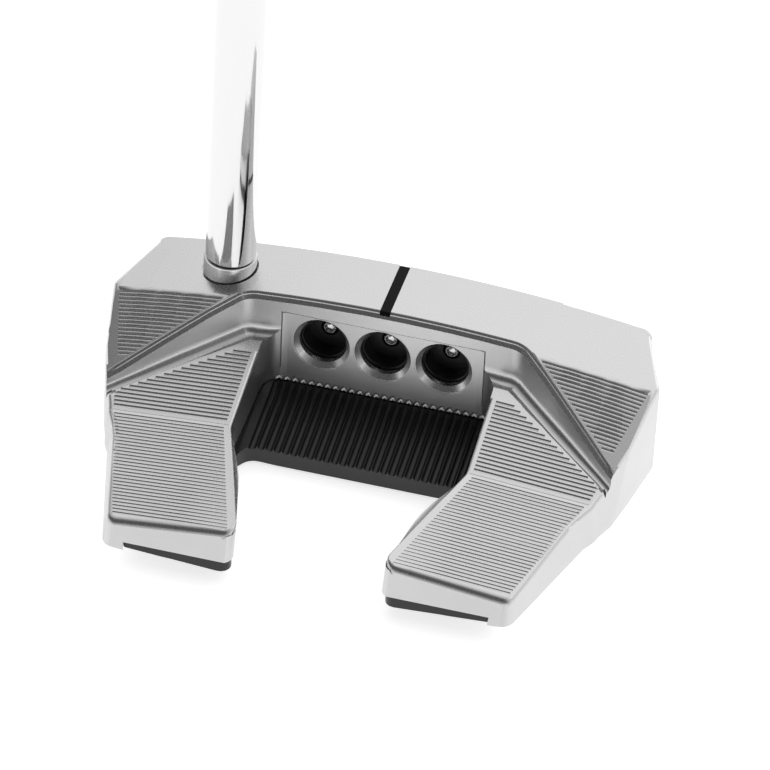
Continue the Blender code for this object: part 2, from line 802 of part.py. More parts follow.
def sight_line(paint):
    """Paint that fills the sighting groove over the top bar and down the lip."""
    top = TOP_Z - 0.12
    deep = TOP_Z - SIGHT_DEEP + GAP
    half = SIGHT_HALF - 0.06
    section = [
        (FACE_Y - 0.2, top),
        (LIP_Y, top),
        (LIP_Y - top + deep, deep),
        (FACE_Y - 0.2, deep),
    ]
    line = loft("sight_line_fill", [[(x, y, z) for y, z in section] for x in (-half, half)])
    return finish(line, paint)


def main():
    clear_scene()
    steel = material("milled_steel", (0.72, 0.71, 0.69), 0.32, 1.0)
    black = material("anodised_black", (0.035, 0.035, 0.037), 0.35, 0.6)
    bright = material("bright_screw", (0.8, 0.8, 0.8), 0.2, 1.0)
    chrome = material("chrome_shaft", (0.85, 0.85, 0.85), 0.06, 1.0)
    rubber = material("grip_rubber", (0.03, 0.03, 0.03), 0.75, 0.0)
    tape_look = material("grip_tape", (0.75, 0.7, 0.55), 0.8, 0.0)
    paint = material("sight_paint", (0.01, 0.01, 0.01), 0.45, 0.0)
    head_body(steel)
    flange(black)
    flange_screws(bright)
    weights(bright, rubber)
    tail_screws(bright)
    neck_post(steel)
    shaft(chrome)
    grip(rubber, tape_look)
    sight_line(paint)


main()
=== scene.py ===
"""Looks of a mallet putter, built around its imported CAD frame.

Every length in the classes is in millimetres, in the CAD model's own frame: +X to the
toe, +Y to the target, +Z up, with the origin at the centre of the sole's flat land.
"""

import logging
import math
from collections.abc import Callable, Sequence
from dataclasses import dataclass, field
from enum import Enum

import bmesh
import bpy
from mathutils import Matrix, Vector
from mathutils.bvhtree import BVHTree

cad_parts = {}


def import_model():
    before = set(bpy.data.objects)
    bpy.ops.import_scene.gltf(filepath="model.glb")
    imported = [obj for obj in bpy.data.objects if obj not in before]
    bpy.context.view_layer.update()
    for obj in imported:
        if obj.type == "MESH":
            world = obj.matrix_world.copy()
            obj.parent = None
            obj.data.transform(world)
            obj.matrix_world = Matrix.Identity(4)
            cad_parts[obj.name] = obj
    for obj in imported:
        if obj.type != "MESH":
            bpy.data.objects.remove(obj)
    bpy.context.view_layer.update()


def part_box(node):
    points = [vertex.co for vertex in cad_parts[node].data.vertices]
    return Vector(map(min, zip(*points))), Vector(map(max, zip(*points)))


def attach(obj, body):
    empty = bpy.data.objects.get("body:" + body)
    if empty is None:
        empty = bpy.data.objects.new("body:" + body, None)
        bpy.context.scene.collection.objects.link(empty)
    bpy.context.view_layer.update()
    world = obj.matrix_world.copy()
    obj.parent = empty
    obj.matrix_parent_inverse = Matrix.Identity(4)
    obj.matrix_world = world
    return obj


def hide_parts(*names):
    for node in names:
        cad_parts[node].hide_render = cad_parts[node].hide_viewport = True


log = logging.getLogger("mallet_putter")

MM = 0.001
SMOOTH_DEGREES = 32.0
SOCKET_POINT = 0.1  # radius at the bottom of a socket
UP = Vector((0.0, 0.0, 1.0))

Point = Vector | tuple[float, float, float]
Corner = tuple[float, float, float]


class Side(Enum):
    """The two halves of the head, by the sign of X."""

    TOE = 1
    HEEL = -1


class Zone(Enum):
    """Material slots of the steel body."""

    SATIN = 0
    BLASTED = 1
    BRUSHED = 2


class Cut(Enum):
    """What a Boolean does with its cutter."""

    AWAY = "DIFFERENCE"
    KEEP = "INTERSECT"
    ADD = "UNION"


# Hand tools


def pick(*pieces: bpy.types.Object) -> None:
    """Select these objects only, the first one active."""
    if bpy.context.mode != "OBJECT":
        bpy.ops.object.mode_set(mode="OBJECT")
    bpy.ops.object.select_all(action="DESELECT")
    for piece in pieces:
        piece.select_set(True)
    bpy.context.view_layer.objects.active = pieces[0]


def sweep(name: str, sections: Sequence[Sequence[Point]]) -> bpy.types.Object:
    """Extrude one outline through a row of sections and close both ends.

    Args:
        name: Name of the new piece.
        sections: Outlines of equal length, each a loop of points in millimetres.

    Returns:
        The closed piece, its faces pointing outwards.
    """
    bpy.ops.object.select_all(action="DESELECT")
    bpy.ops.mesh.primitive_circle_add(vertices=len(sections[0]), fill_type="NGON")
    piece = bpy.context.object
    piece.name = name
    piece.data.name = name
    first = [Vector(p) * MM for p in sections[0]]
    for vertex, place in zip(piece.data.vertices, first):
        vertex.co = place
    bpy.ops.object.mode_set(mode="EDIT")
    bpy.ops.mesh.select_all(action="SELECT")
    order = list(range(len(first)))
    for section in sections[1:]:
        edit = bmesh.from_edit_mesh(piece.data)
        edit.verts.ensure_lookup_table()
        before = [edit.verts[i].co.copy() for i in order]
        bpy.ops.mesh.extrude_region_move()
        edit = bmesh.from_edit_mesh(piece.data)
        lifted = [v for v in edit.verts if v.select]
        slots = {tuple(round(c, 8) for c in v.co): v for v in lifted}
        moved = [slots[tuple(round(c, 8) for c in place)] for place in before]
        for vertex, place in zip(moved, section):
            vertex.co = Vector(place) * MM
        edit.verts.index_update()
        order = [v.index for v in moved]
        bmesh.update_edit_mesh(piece.data)
    bpy.ops.mesh.select_all(action="SELECT")
    bpy.ops.mesh.normals_make_consistent(inside=False)
    bpy.ops.object.mode_set(mode="OBJECT")
    return piece


def circle(centre: Vector, axis: Vector, radius: float, sides: int) -> list[Vector]:
    """Points of a circle about an axis.

    Args:
        centre: Middle of the circle.
        axis: Direction that it faces.
        radius: Its radius.
        sides: How many points it has.

    Returns:
        The points in order.
    """
    across = axis.orthogonal().normalized()
    along = axis.normalized().cross(across)
    turns = [2 * math.pi * i / sides for i in range(sides)]
    return [centre + radius * (math.cos(a) * across + math.sin(a) * along) for a in turns]


def turn(
    name: str,
    origin: Vector,
    axis: Vector,
    profile: Sequence[tuple[float, float]],
    sides: int = 64,
) -> bpy.types.Object:
    """Turn a round piece on an axis.

    Args:
        name: Name of the new piece.
        origin: Where the profile starts.
        axis: Direction of the axis.
        profile: Pairs of distance along the axis and radius.
        sides: How many sides the piece has.

    Returns:
        The closed round piece.
    """
    line = axis.normalized()
    return sweep(name, [circle(origin + line * t, line, r, sides) for t, r in profile])


def apply(piece: bpy.types.Object, kind: str, name: str, **settings: object) -> None:
    """Add one modifier to a piece and apply it.

    Args:
        piece: The piece to change.
        kind: Blender's name of the modifier's type.
        name: A name for the step.
        **settings: Values of the modifier.
    """
    pick(piece)
    modifier = piece.modifiers.new(name, kind)
    for key, value in settings.items():
        setattr(modifier, key, value)
    bpy.ops.object.modifier_apply(modifier=modifier.name)


def carve(piece: bpy.types.Object, cutter: bpy.types.Object, how: Cut = Cut.AWAY) -> None:
    """Boolean a piece with a cutter, and drop the cutter.

    Args:
        piece: The piece to change.
        cutter: The closed shape that cuts it.
        how: What the Boolean does.
    """
    apply(piece, "BOOLEAN", cutter.name, operation=how.value, object=cutter, solver="EXACT")
    bpy.data.objects.remove(cutter)


def hex_socket(
    name: str, at: Vector, axis: Vector, across: float, depths: Sequence[tuple[float, float]]
) -> bpy.types.Object:
    """Cutter for a hexagon socket with a lead-in.

    Args:
        name: Name of the cutter.
        at: Middle of the socket's mouth.
        axis: Unit vector into the metal.
        across: Size across the flats.
        depths: Depth of each section, with what it adds to the corner radius.

    Returns:
        The cutter.
    """
    corner = across / 2 / math.cos(math.pi / 6)
    return sweep(name, [circle(at + axis * deep, axis, corner + more, 6) for deep, more in depths])


def mirror_of(piece: bpy.types.Object, name: str) -> bpy.types.Object:
    """A copy of a piece on the other side of X = 0, its faces turned out again.

    Args:
        piece: The piece to copy.
        name: Name of the copy.

    Returns:
        The copy.
    """
    pick(piece)
    bpy.ops.object.duplicate()
    twin = bpy.context.object
    twin.name = name
    twin.data.name = name
    twin.data.transform(Matrix.Scale(-1.0, 4, Vector((1.0, 0.0, 0.0))))
    pick(twin)
    bpy.ops.object.mode_set(mode="EDIT")
    bpy.ops.mesh.select_all(action="SELECT")
    bpy.ops.mesh.normals_make_consistent(inside=False)
    bpy.ops.object.mode_set(mode="OBJECT")
    return twin


def refined_copy(name: str, node: str) -> bpy.types.Object:
    """Copy a CAD node's mesh, join its loose triangles and clear its flat faces.

    Args:
        name: Name of the new piece.
        node: CAD node whose mesh is copied.

    Returns:
        The copy, as one closed mesh of large flat faces.
    """
    mesh = bpy.data.objects[node].data.copy()
    mesh.name = name
    piece = bpy.data.objects.new(name, mesh)
    bpy.context.scene.collection.objects.link(piece)
    pick(piece)
    if mesh.has_custom_normals:
        bpy.ops.mesh.customdata_custom_splitnormals_clear()
    bpy.ops.object.mode_set(mode="EDIT")
    bpy.ops.mesh.select_all(action="SELECT")
    bpy.ops.mesh.remove_doubles(threshold=0.000002)
    bpy.ops.mesh.dissolve_limited(angle_limit=math.radians(0.2))
    bpy.ops.mesh.normals_make_consistent(inside=False)
    bpy.ops.object.mode_set(mode="OBJECT")
    return piece


def smooth(piece: bpy.types.Object, degrees: float = SMOOTH_DEGREES) -> None:
    """Shade a piece smooth up to an angle and weight its normals by face area.

    Args:
        piece: The piece to shade.
        degrees: Edges sharper than this stay sharp.
    """
    pick(piece)
    bpy.ops.object.shade_smooth_by_angle(angle=math.radians(degrees))
    apply(piece, "WEIGHTED_NORMAL", "even_normals", keep_sharp=True, weight=80)


def soften(piece: bpy.types.Object, width: float, segments: int = 2) -> None:
    """Round a piece's sharp edges a little.

    Args:
        piece: The piece to change.
        width: Width of the rounding in millimetres.
        segments: Steps across it.
    """
    apply(
        piece,
        "BEVEL",
        "soft_edges",
        width=width * MM,
        segments=segments,
        limit_method="ANGLE",
        angle_limit=math.radians(30.0),
        use_clamp_overlap=True,
    )


def rounded(corners: Sequence[Corner], steps: int = 6, runs: int = 8) -> list[Vector]:
    """Open plan line through corners, with an arc at each inner one.

    Args:
        corners: X, Y and radius of each corner.
        steps: Steps of each arc.
        runs: Steps of each straight run.

    Returns:
        Points of the line.
    """
    line = [Vector(corners[0][:2])]

    def run_to(end: Vector) -> None:
        """Add a straight run up to a point."""
        start = line[-1]
        line.extend(start.lerp(end, s / runs) for s in range(1, runs + 1))

    for before, (x, y, radius), after in zip(corners, corners[1:], corners[2:]):
        here = Vector((x, y))
        back = (Vector(before[:2]) - here).normalized()
        ahead = (Vector(after[:2]) - here).normalized()
        half = back.angle(ahead) / 2
        reach = radius / math.tan(half)
        centre = here + (back + ahead).normalized() * (radius / math.sin(half))
        start, end = here + back * reach - centre, here + ahead * reach - centre
        swing = start.angle_signed(end)
        run_to(centre + start)
        for s in range(1, steps + 1):
            line.append(centre + Matrix.Rotation(-swing * s / steps, 2) @ start)
    run_to(Vector(corners[-1][:2]))
    return line


# Finishes


@dataclass
class NodeBoard:
    """A small helper that adds and joins shader nodes on one tree."""

    tree: bpy.types.NodeTree

    def add(self, kind: str, **settings: object) -> bpy.types.Node:
        """Add a node, with values for its properties or its inputs by name."""
        node = self.tree.nodes.new(kind)
        for key, value in settings.items():
            if hasattr(node, key):
                setattr(node, key, value)
            else:
                node.inputs[key.replace("_", " ")].default_value = value
        return node

    def join(self, start: bpy.types.NodeSocket, end: bpy.types.NodeSocket) -> None:
        """Join an output to an input."""
        self.tree.links.new(start, end)

    def math(
        self,
        operation: str,
        first: bpy.types.NodeSocket | float,
        second: bpy.types.NodeSocket | float = 0.0,
    ) -> bpy.types.NodeSocket:
        """Add a Math node.

        Args:
            operation: What it does.
            first: Its first value, a number or an output.
            second: Its second value.

        Returns:
            Its result.
        """
        node = self.add("ShaderNodeMath", operation=operation)
        for socket, value in zip(node.inputs, (first, second)):
            if isinstance(value, float):
                socket.default_value = value
            else:
                self.join(value, socket)
        return node.outputs[0]


def new_group(
    name: str, inputs: dict[str, float], outputs: Sequence[str]
) -> tuple[bpy.types.NodeTree, NodeBoard, bpy.types.Node, bpy.types.Node]:
    """Start a shader node group.

    Args:
        name: Name of the group.
        inputs: Its value inputs and their defaults.
        outputs: Its value outputs.

    Returns:
        The group, its board, and its input and output nodes.
    """
    group = bpy.data.node_groups.new(name, "ShaderNodeTree")
    for label, value in inputs.items():
        socket = group.interface.new_socket(label, in_out="INPUT", socket_type="NodeSocketFloat")
        socket.default_value = value
    for label in outputs:
        group.interface.new_socket(label, in_out="OUTPUT", socket_type="NodeSocketFloat")
    board = NodeBoard(group)
    return group, board, board.add("NodeGroupInput"), board.add("NodeGroupOutput")


def grain_group() -> bpy.types.NodeTree:
    """Fine grain of a blasted or cast surface, with slow clouds of tone over it."""
    group, board, given, made = new_group(
        "surface_grain", {"Scale": 2200.0, "Cloud Scale": 60.0}, ("Height", "Cloud")
    )
    place = board.add("ShaderNodeTexCoord").outputs["Object"]
    fine = board.add("ShaderNodeTexNoise", Detail=3.0, Roughness=0.65)
    slow = board.add("ShaderNodeTexNoise", Detail=2.0, Roughness=0.5)
    for noise, label in ((fine, "Scale"), (slow, "Cloud Scale")):
        board.join(place, noise.inputs["Vector"])
        board.join(given.outputs[label], noise.inputs["Scale"])
    board.join(fine.outputs["Fac"], made.inputs["Height"])
    board.join(slow.outputs["Fac"], made.inputs["Cloud"])
    return group


def brush_group() -> bpy.types.NodeTree:
    """Fine parallel tool marks: noise stretched along one direction of the object."""
    group, board, given, made = new_group(
        "tool_marks", {"Along X": 60.0, "Along Y": 3000.0, "Along Z": 3000.0}, ("Height",)
    )
    place = board.add("ShaderNodeTexCoord").outputs["Object"]
    stretch = board.add("ShaderNodeCombineXYZ")
    for label, axis in (("Along X", "X"), ("Along Y", "Y"), ("Along Z", "Z")):
        board.join(given.outputs[label], stretch.inputs[axis])
    scaled = board.add("ShaderNodeVectorMath", operation="MULTIPLY")
    board.join(place, scaled.inputs[0])
    board.join(stretch.outputs[0], scaled.inputs[1])
    noise = board.add("ShaderNodeTexNoise", Scale=1.0, Detail=2.0, Roughness=0.6)
    board.join(scaled.outputs[0], noise.inputs["Vector"])
    board.join(noise.outputs["Fac"], made.inputs["Height"])
    return group


@dataclass(frozen=True)
class Finish:
    """A surface finish: colour, gloss, grain and tool marks."""

    name: str
    color: tuple[float, float, float]
    roughness: float
    metallic: float = 1.0
    tone_change: float = 0.06
    roughness_change: float = 0.06
    grain_scale: float = 2200.0
    grain_depth: float = 0.004
    marks: tuple[float, float, float] | None = None
    marks_depth: float = 0.0
    cloud_scale: float = 60.0
    gloss: float = 0.5

    def material(self, groups: dict[str, bpy.types.NodeTree]) -> bpy.types.Material:
        """Build the finish as a node material.

        Args:
            groups: The shared node groups by name.

        Returns:
            The material.
        """
        material = bpy.data.materials.new(self.name)
        material.use_nodes = True
        board = NodeBoard(material.node_tree)
        shader = material.node_tree.nodes["Principled BSDF"]
        shader.inputs["Metallic"].default_value = self.metallic
        shader.inputs["Specular IOR Level"].default_value = self.gloss
        grain = board.add("ShaderNodeGroup", node_tree=groups["grain"])
        grain.inputs["Scale"].default_value = self.grain_scale
        grain.inputs["Cloud Scale"].default_value = self.cloud_scale
        tone = board.add("ShaderNodeMixRGB", blend_type="MIX")
        darker = [c * (1.0 - self.tone_change) for c in self.color]
        lighter = [min(1.0, c * (1.0 + self.tone_change)) for c in self.color]
        tone.inputs[1].default_value = (*darker, 1.0)
        tone.inputs[2].default_value = (*lighter, 1.0)
        board.join(grain.outputs["Cloud"], tone.inputs[0])
        board.join(tone.outputs[0], shader.inputs["Base Color"])
        swing = board.math("MULTIPLY", grain.outputs["Height"], 2.0 * self.roughness_change)
        rough = board.math("ADD", swing, self.roughness - self.roughness_change)
        board.join(rough, shader.inputs["Roughness"])
        height = board.math("MULTIPLY", grain.outputs["Height"], self.grain_depth)
        if self.marks is not None:
            marks = board.add("ShaderNodeGroup", node_tree=groups["marks"])
            for label, value in zip(("Along X", "Along Y", "Along Z"), self.marks):
                marks.inputs[label].default_value = value
            lines = board.math("MULTIPLY", marks.outputs["Height"], self.marks_depth)
            height = board.math("ADD", height, lines)
        bump = board.add("ShaderNodeBump", Distance=MM)
        board.join(height, bump.inputs["Height"])
        board.join(bump.outputs["Normal"], shader.inputs["Normal"])
        return material


class Finishes(Enum):
    """Every finish on the putter."""

    SATIN_STEEL = Finish("satin_steel", (0.72, 0.72, 0.72), 0.27, marks=(60.0, 2600.0, 2600.0),
                         marks_depth=0.004, grain_depth=0.002, tone_change=0.02)
    BLASTED_STEEL = Finish("blasted_steel", (0.62, 0.62, 0.62), 0.36, grain_scale=3000.0,
                           grain_depth=0.016, tone_change=0.05)
    UPRIGHT_STEEL = Finish("upright_brushed_steel", (0.62, 0.62, 0.62), 0.3,
                           marks=(3200.0, 3200.0, 60.0), marks_depth=0.012, grain_depth=0.003)
    BLACK_ANODISED = Finish("black_anodised", (0.042, 0.042, 0.042), 0.31, metallic=0.75,
                            grain_scale=2600.0, grain_depth=0.006, tone_change=0.12)
    SCREW_STEEL = Finish("screw_steel", (0.72, 0.72, 0.72), 0.22, grain_scale=1500.0,
                         grain_depth=0.002)
    WEIGHT_STEEL = Finish("weight_steel", (0.6, 0.6, 0.6), 0.28, grain_scale=2000.0,
                          grain_depth=0.003)
    CHROME = Finish("shaft_chrome", (0.78, 0.78, 0.78), 0.07, grain_scale=900.0,
                    grain_depth=0.0004, tone_change=0.01, roughness_change=0.02)
    NECK_STEEL = Finish("neck_steel", (0.7, 0.7, 0.7), 0.22, grain_scale=1800.0,
                        grain_depth=0.002)
    RUBBER = Finish("grip_rubber", (0.018, 0.018, 0.018), 0.62, metallic=0.0, gloss=0.35,
                    grain_scale=1400.0, grain_depth=0.03, tone_change=0.2)
    SEAL = Finish("seal_rubber", (0.016, 0.016, 0.016), 0.48, metallic=0.0,
                  grain_scale=1800.0, grain_depth=0.01, tone_change=0.15)
    PAINT = Finish("sight_paint", (0.003, 0.003, 0.003), 0.5, metallic=0.0, gloss=0.12,
                   grain_scale=2400.0, grain_depth=0.006, tone_change=0.3)
    TAPE = Finish("grip_tape", (0.52, 0.47, 0.36), 0.75, metallic=0.0, grain_scale=700.0,
                  grain_depth=0.02, tone_change=0.12, marks=(900.0, 900.0, 80.0),
                  marks_depth=0.01)


@dataclass
class Dresser:
    """Holds the built materials and puts them on pieces."""

    groups: dict[str, bpy.types.NodeTree] = field(default_factory=dict)
    made: dict[Finishes, bpy.types.Material] = field(default_factory=dict)

    def get(self, finish: Finishes) -> bpy.types.Material:
        """The material of a finish, built the first time it is asked for."""
        if not self.groups:
            self.groups = {"grain": grain_group(), "marks": brush_group()}
        if finish not in self.made:
            self.made[finish] = finish.value.material(self.groups)
        return self.made[finish]

    def dress(self, piece: bpy.types.Object, *finishes: Finishes) -> None:
        """Give a piece its finishes, one for each material slot."""
        piece.data.materials.clear()
        for finish in finishes:
            piece.data.materials.append(self.get(finish))


def settle(piece: bpy.types.Object, body: str, slot: str, *nodes: str) -> None:
    """Make a finished piece stand for CAD nodes on a body, and report it.

    Args:
        piece: The finished piece.
        body: CAD body that it rides on.
        slot: Name of its material slot; not used.
        *nodes: CAD nodes that it stands for.
    """
    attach(piece, body)
    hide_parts(*nodes)
    log.info("%s on %s: %d faces", piece.name, body, len(piece.data.polygons))


# The head


@dataclass(frozen=True)
class HeadShape:
    """Surfaces and outlines of the head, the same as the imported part's."""

    top: float = 25.6
    crown_radius: float = 270.0
    face_y: float = 16.0
    face_half: float = 46.5
    wide_half: float = 52.0
    wide_y: float = 2.0
    crease_y: float = -21.1
    crease_half: float = 45.6
    crease_z: float = 12.4
    crease_x: float = 22.5
    rear_half: float = 37.4
    rear_y: float = -47.6
    rear_z: float = 8.0
    rear_lean: float = 0.4
    bar_rear_y: float = 0.7
    upper_slope: float = 0.5
    mid_slope: float = 0.245
    pad_slope: float = 0.10
    side_slope: float = 0.083
    cavity_half: float = 22.0
    cavity_rear_half: float = 13.1
    lip_y: float = 2.6
    lip_start: tuple[float, float] = (25.9, 2.6)
    lip_end: tuple[float, float] = (46.2, -13.5)
    lip_corner: float = 5.5
    wall_y: float = 1.0
    wall_z: float = 16.0
    wall_lean: float = math.tan(math.radians(5.0))
    hole_pitch: float = 11.6

    def wall_point(self, x: float, z: float, deep: float) -> Vector:
        """Point of the leaning face between the wings.

        Args:
            x: Its X.
            z: Its height.
            deep: How far it is sunk, along Y.

        Returns:
            The point.
        """
        return Vector((x, self.wall_y + self.wall_lean * (z - self.wall_z) + deep, z))

    def crown(self, x: float) -> float:
        """Height of the crowned top at x."""
        return self.top - self.crown_radius + math.sqrt(self.crown_radius**2 - x * x)

    def upper(self, x: float, y: float) -> float:
        """Height of the plain top bar and the steep facet behind it."""
        return self.crown(x) - self.upper_slope * max(0.0, self.bar_rear_y - y)

    def wing(self, x: float, y: float) -> float:
        """Height of the mid facet, and of the flatter pad behind the crease."""
        slope = self.mid_slope if y > self.crease_y else self.pad_slope
        fall = self.side_slope * (abs(x) - self.crease_x)
        return self.crease_z + slope * (y - self.crease_y) - fall

    def flank(self, y: float, z: float) -> Corner:
        """Point of the toe side's outline at y and height z, as a sharp corner.

        Args:
            y: Y of the point.
            z: Its height.

        Returns:
            X, Y and no rounding.
        """
        wide = self.wide_half - 0.025 * (self.top - z)
        crease = self.crease_half + 0.08 * (self.crease_z - z)
        share = (self.wide_y - y) / (self.wide_y - self.crease_y)
        return wide + (crease - wide) * share, y, 0.0

    def rear_at(self, z: float) -> float:
        """Y of the leaning rear wall at height z."""
        return self.rear_y - self.rear_lean * (self.rear_z - z)

    def upper_rim(self, z: float) -> list[Vector]:
        """Plan line along the face and the toe side, down to the end of the lip.

        Args:
            z: Height of the line.

        Returns:
            Its points.
        """
        wide = self.flank(self.wide_y, z)
        return rounded(
            [
                (30.0, self.face_y, 0.0),
                (self.face_half, self.face_y, 2.0),
                (wide[0], wide[1], 2.5),
                self.flank(-13.6, z),
            ]
        )

    def wing_rim(self, z: float) -> list[Vector]:
        """Plan line from the lip's end round the pad and up the inner side of the wing.

        Args:
            z: Height of the line.

        Returns:
            Its points.
        """
        crease = self.flank(self.crease_y, z)
        return rounded(
            [
                self.flank(-16.6, z),
                (crease[0], crease[1], 20.0),
                (self.rear_half + 0.046 * (self.rear_z - z), self.rear_at(z), 2.2),
                (self.cavity_rear_half, self.rear_at(z), 2.2),
                (self.cavity_half, self.crease_y, 5.0),
                (self.cavity_half, -4.6, 0.0),
            ]
        )

    def lip_line(self, steps: int = 10) -> list[tuple[Vector, Vector]]:
        """Plan points of the toe half's lip, each with its rearward normal.

        Args:
            steps: Steps round the lip's corner.

        Returns:
            The points and normals.
        """
        heading = Vector(self.lip_end) - Vector(self.lip_start)
        swing = math.atan2(-heading.y, heading.x)
        reach = self.lip_corner * math.tan(swing / 2)
        centre = Vector((self.lip_start[0] - reach, self.lip_y - self.lip_corner))
        line = [(Vector((x, self.lip_y)), Vector((0.0, -1.0))) for x in (0.0, 8.0, 16.0)]
        for s in range(steps + 1):
            a = swing * s / steps
            normal = Vector((-math.sin(a), -math.cos(a)))
            line.append((centre - normal * self.lip_corner, normal))
        normal = Vector((-math.sin(swing), -math.cos(swing)))
        start = Vector(self.lip_start)
        for share in (0.3, 0.6, 0.9, 1.08):
            line.append((start + heading * share, normal))
        return line


@dataclass(frozen=True)
class RibField:
    """A field of milled grooves across one facet."""

    name: str
    pitch: float
    count: int
    depth: float
    first_y: float
    inner: Callable[[float], float]
    outer: Callable[[float], float]
    surface: Callable[[float, float], float]
    slope: float
    stations: int = 2
    share: float = 0.74

    def row(self, index: int) -> bpy.types.Object:
        """Cutter of one groove, from the inner border to the outer one.

        Args:
            index: Which groove, counted from the front.

        Returns:
            The cutter.
        """
        half = self.pitch * self.share / 2
        arc = [half * (s / 3.0) for s in range(-3, 4)]
        low = [(dy, -self.depth * (1.0 - (dy / half) ** 2)) for dy in arc]
        section = [(-half * 1.08, 0.6), (-half * 1.08, 0.03), *low]
        section += [(half * 1.08, 0.03), (half * 1.08, 0.6)]
        y = self.first_y - self.pitch * index
        start, end = self.inner(y), self.outer(y)
        sections = []
        for s in range(self.stations):
            x = start + (end - start) * s / (self.stations - 1)
            z = self.surface(x, y)
            sections.append([(x, y + dy, z + dz + self.slope * dy) for dy, dz in section])
        return sweep(f"{self.name}_{index}", sections)

    def cutter(self) -> bpy.types.Object:
        """All the grooves of the field as one cutter."""
        rows = [self.row(i) for i in range(self.count)]
        pick(*rows)
        bpy.ops.object.join()
        joined = bpy.context.object
        joined.name = self.name
        return joined


@dataclass
class MilledBody:
    """The steel body: broken edges, ribbed facets, lip lines and scallops."""

    shape: HeadShape = field(default_factory=HeadShape)
    outer_break: float = 1.1
    face_break: float = 0.35
    inner_break: float = 0.7
    rib_gap: float = 1.15
    lip_gap: float = 0.5
    wall_half: float = 19.2
    wall_top: float = 21.72
    wall_low: float = 9.4
    line_width: float = 0.24
    flank_from: float = 34.0
    flank_reach: float = 1.8
    stock: BVHTree = field(init=False)

    def rim_points(
        self, line: Callable[[float], list[Vector]], surface: Callable[[float, float], float]
    ) -> list[tuple[Vector, Vector]]:
        """Lift a plan line, which changes with height, onto a surface.

        Args:
            line: Plan line at a height.
            surface: Height of the surface at a plan point.

        Returns:
            The points where the line's wall meets the surface, each with the way down the wall.
        """
        count = len(line(self.shape.top))
        points = []
        for i in range(count):
            z = 15.0
            for _ in range(5):
                x, y = line(z)[i]
                z = surface(x, y)
            foot = line(z - 2.0)[i]
            place, below = Vector((x, y, z)), Vector((foot.x, foot.y, z - 2.0))
            if x > self.flank_from and self.shape.rear_y + 2.4 < y < self.shape.wide_y - 1.0:
                place.x = self.flank_x(y, z - 0.3, x)
                below = Vector((self.flank_x(y, z - 2.0, x), y, z - 2.0))
            points.append((place, (below - place).normalized()))
        return points

    def flank_x(self, y: float, z: float, expected: float) -> float:
        """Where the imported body's flank really is, whose facets fold along a diagonal.

        Args:
            y: Y on the flank.
            z: Height on the flank.
            expected: X that the outline gives.

        Returns:
            The measured X, or the expected one where the two are far apart.
        """
        start = Vector((80.0, y, z)) * MM
        place = self.stock.ray_cast(start, Vector((-1.0, 0.0, 0.0)))[0]
        if place is None or abs(place.x / MM - expected) > self.flank_reach:
            return expected
        return place.x / MM

    def edge_break(
        self,
        name: str,
        rim: Sequence[tuple[Vector, Vector]],
        surface: Callable[[float, float], float],
        widths: Sequence[float],
    ) -> bpy.types.Object:
        """Cutter that rounds the edge between a surface and the wall under its rim.

        Args:
            name: Name of the cutter.
            rim: The edge, with the body on its right-hand side, and the way down the wall.
            surface: Height of the top surface, for its normal.
            widths: Width of the rounding at each point.

        Returns:
            The cutter.
        """
        sections = []
        points = [place for place, _ in rim]
        for i, ((here, down), width) in enumerate(zip(rim, widths)):
            before, after = points[max(i - 1, 0)], points[min(i + 1, len(points) - 1)]
            along = (after - before).normalized()
            out = Vector((-along.y, along.x, 0.0)).normalized()
            inside = here - out * 0.2
            dx = (surface(inside.x + 0.1, inside.y) - surface(inside.x - 0.1, inside.y)) / 0.2
            dy = (surface(inside.x, inside.y + 0.1) - surface(inside.x, inside.y - 0.1)) / 0.2
            top = Vector((-dx, -dy, 1.0)).normalized()
            inward = top.cross(along).normalized()
            inward = inward if inward.dot(out) < 0 else -inward
            curve = []
            for s in (0.06, 0.22, 0.4, 0.6, 0.78, 0.94):
                curve.append((width * (1 - s) ** 2, width * s * s))
            section = [(width + 0.35, -0.05), *curve, (-0.05, width + 0.35), (-1.2, -1.2)]
            sections.append([here + inward * a + down * b for a, b in section])
        return sweep(name, sections)

    def width_at(self, place: Vector, face_from: float) -> float:
        """Width of the rounding at a point of the rim.

        Args:
            place: The point.
            face_from: Y past which the rim belongs to the face.

        Returns:
            The width in millimetres.
        """
        if place.y > face_from:
            return self.face_break
        inner = place.y > self.shape.rear_y + 2.5 and place.x < self.shape.cavity_half + 0.2
        return self.inner_break if inner else self.outer_break

    def groove(self, name: str, line: Sequence[tuple[Vector, Vector]], width: float,
               depth: float) -> bpy.types.Object:
        """Cutter for a fine V groove.

        Args:
            name: Name of the cutter.
            line: Points of the surface, each with its sideways direction.
            width: Width of the groove.
            depth: Its depth.

        Returns:
            The cutter.
        """
        sections = []
        for here, aside in line:
            up = Vector((0.0, 0.0, 1.0))
            half = width / 2
            sections.append(
                [
                    here - up * depth,
                    here + aside * half * 1.3 + up * 0.3 * depth,
                    here + aside * half * 1.3 + up * 0.5,
                    here - aside * half * 1.3 + up * 0.5,
                    here - aside * half * 1.3 + up * 0.3 * depth,
                ]
            )
        return sweep(name, sections)

    def rib_fields(self) -> list[RibField]:
        """The three fields of grooves on the toe half."""
        shape, gap = self.shape, self.rib_gap
        lean = 1.261
        lip = self.lip_gap * math.hypot(1.0, lean)

        def lip_x(y: float) -> float:
            """Inner border of the upper grooves, along the lip."""
            return shape.lip_start[0] + (shape.lip_start[1] - y) * lean + lip

        def flank_x(y: float) -> float:
            """Outer border of the upper grooves."""
            return shape.flank(y, 18.0)[0] - gap

        def channel_x(y: float) -> float:
            """Border of the mid grooves along the channel."""
            return 23.7 + (-2.9 - y) * 1.588 - 0.9

        def outer_x(y: float) -> float:
            """Outer border of the pad."""
            return shape.rear_half - gap + (y - shape.rear_y) * 0.309

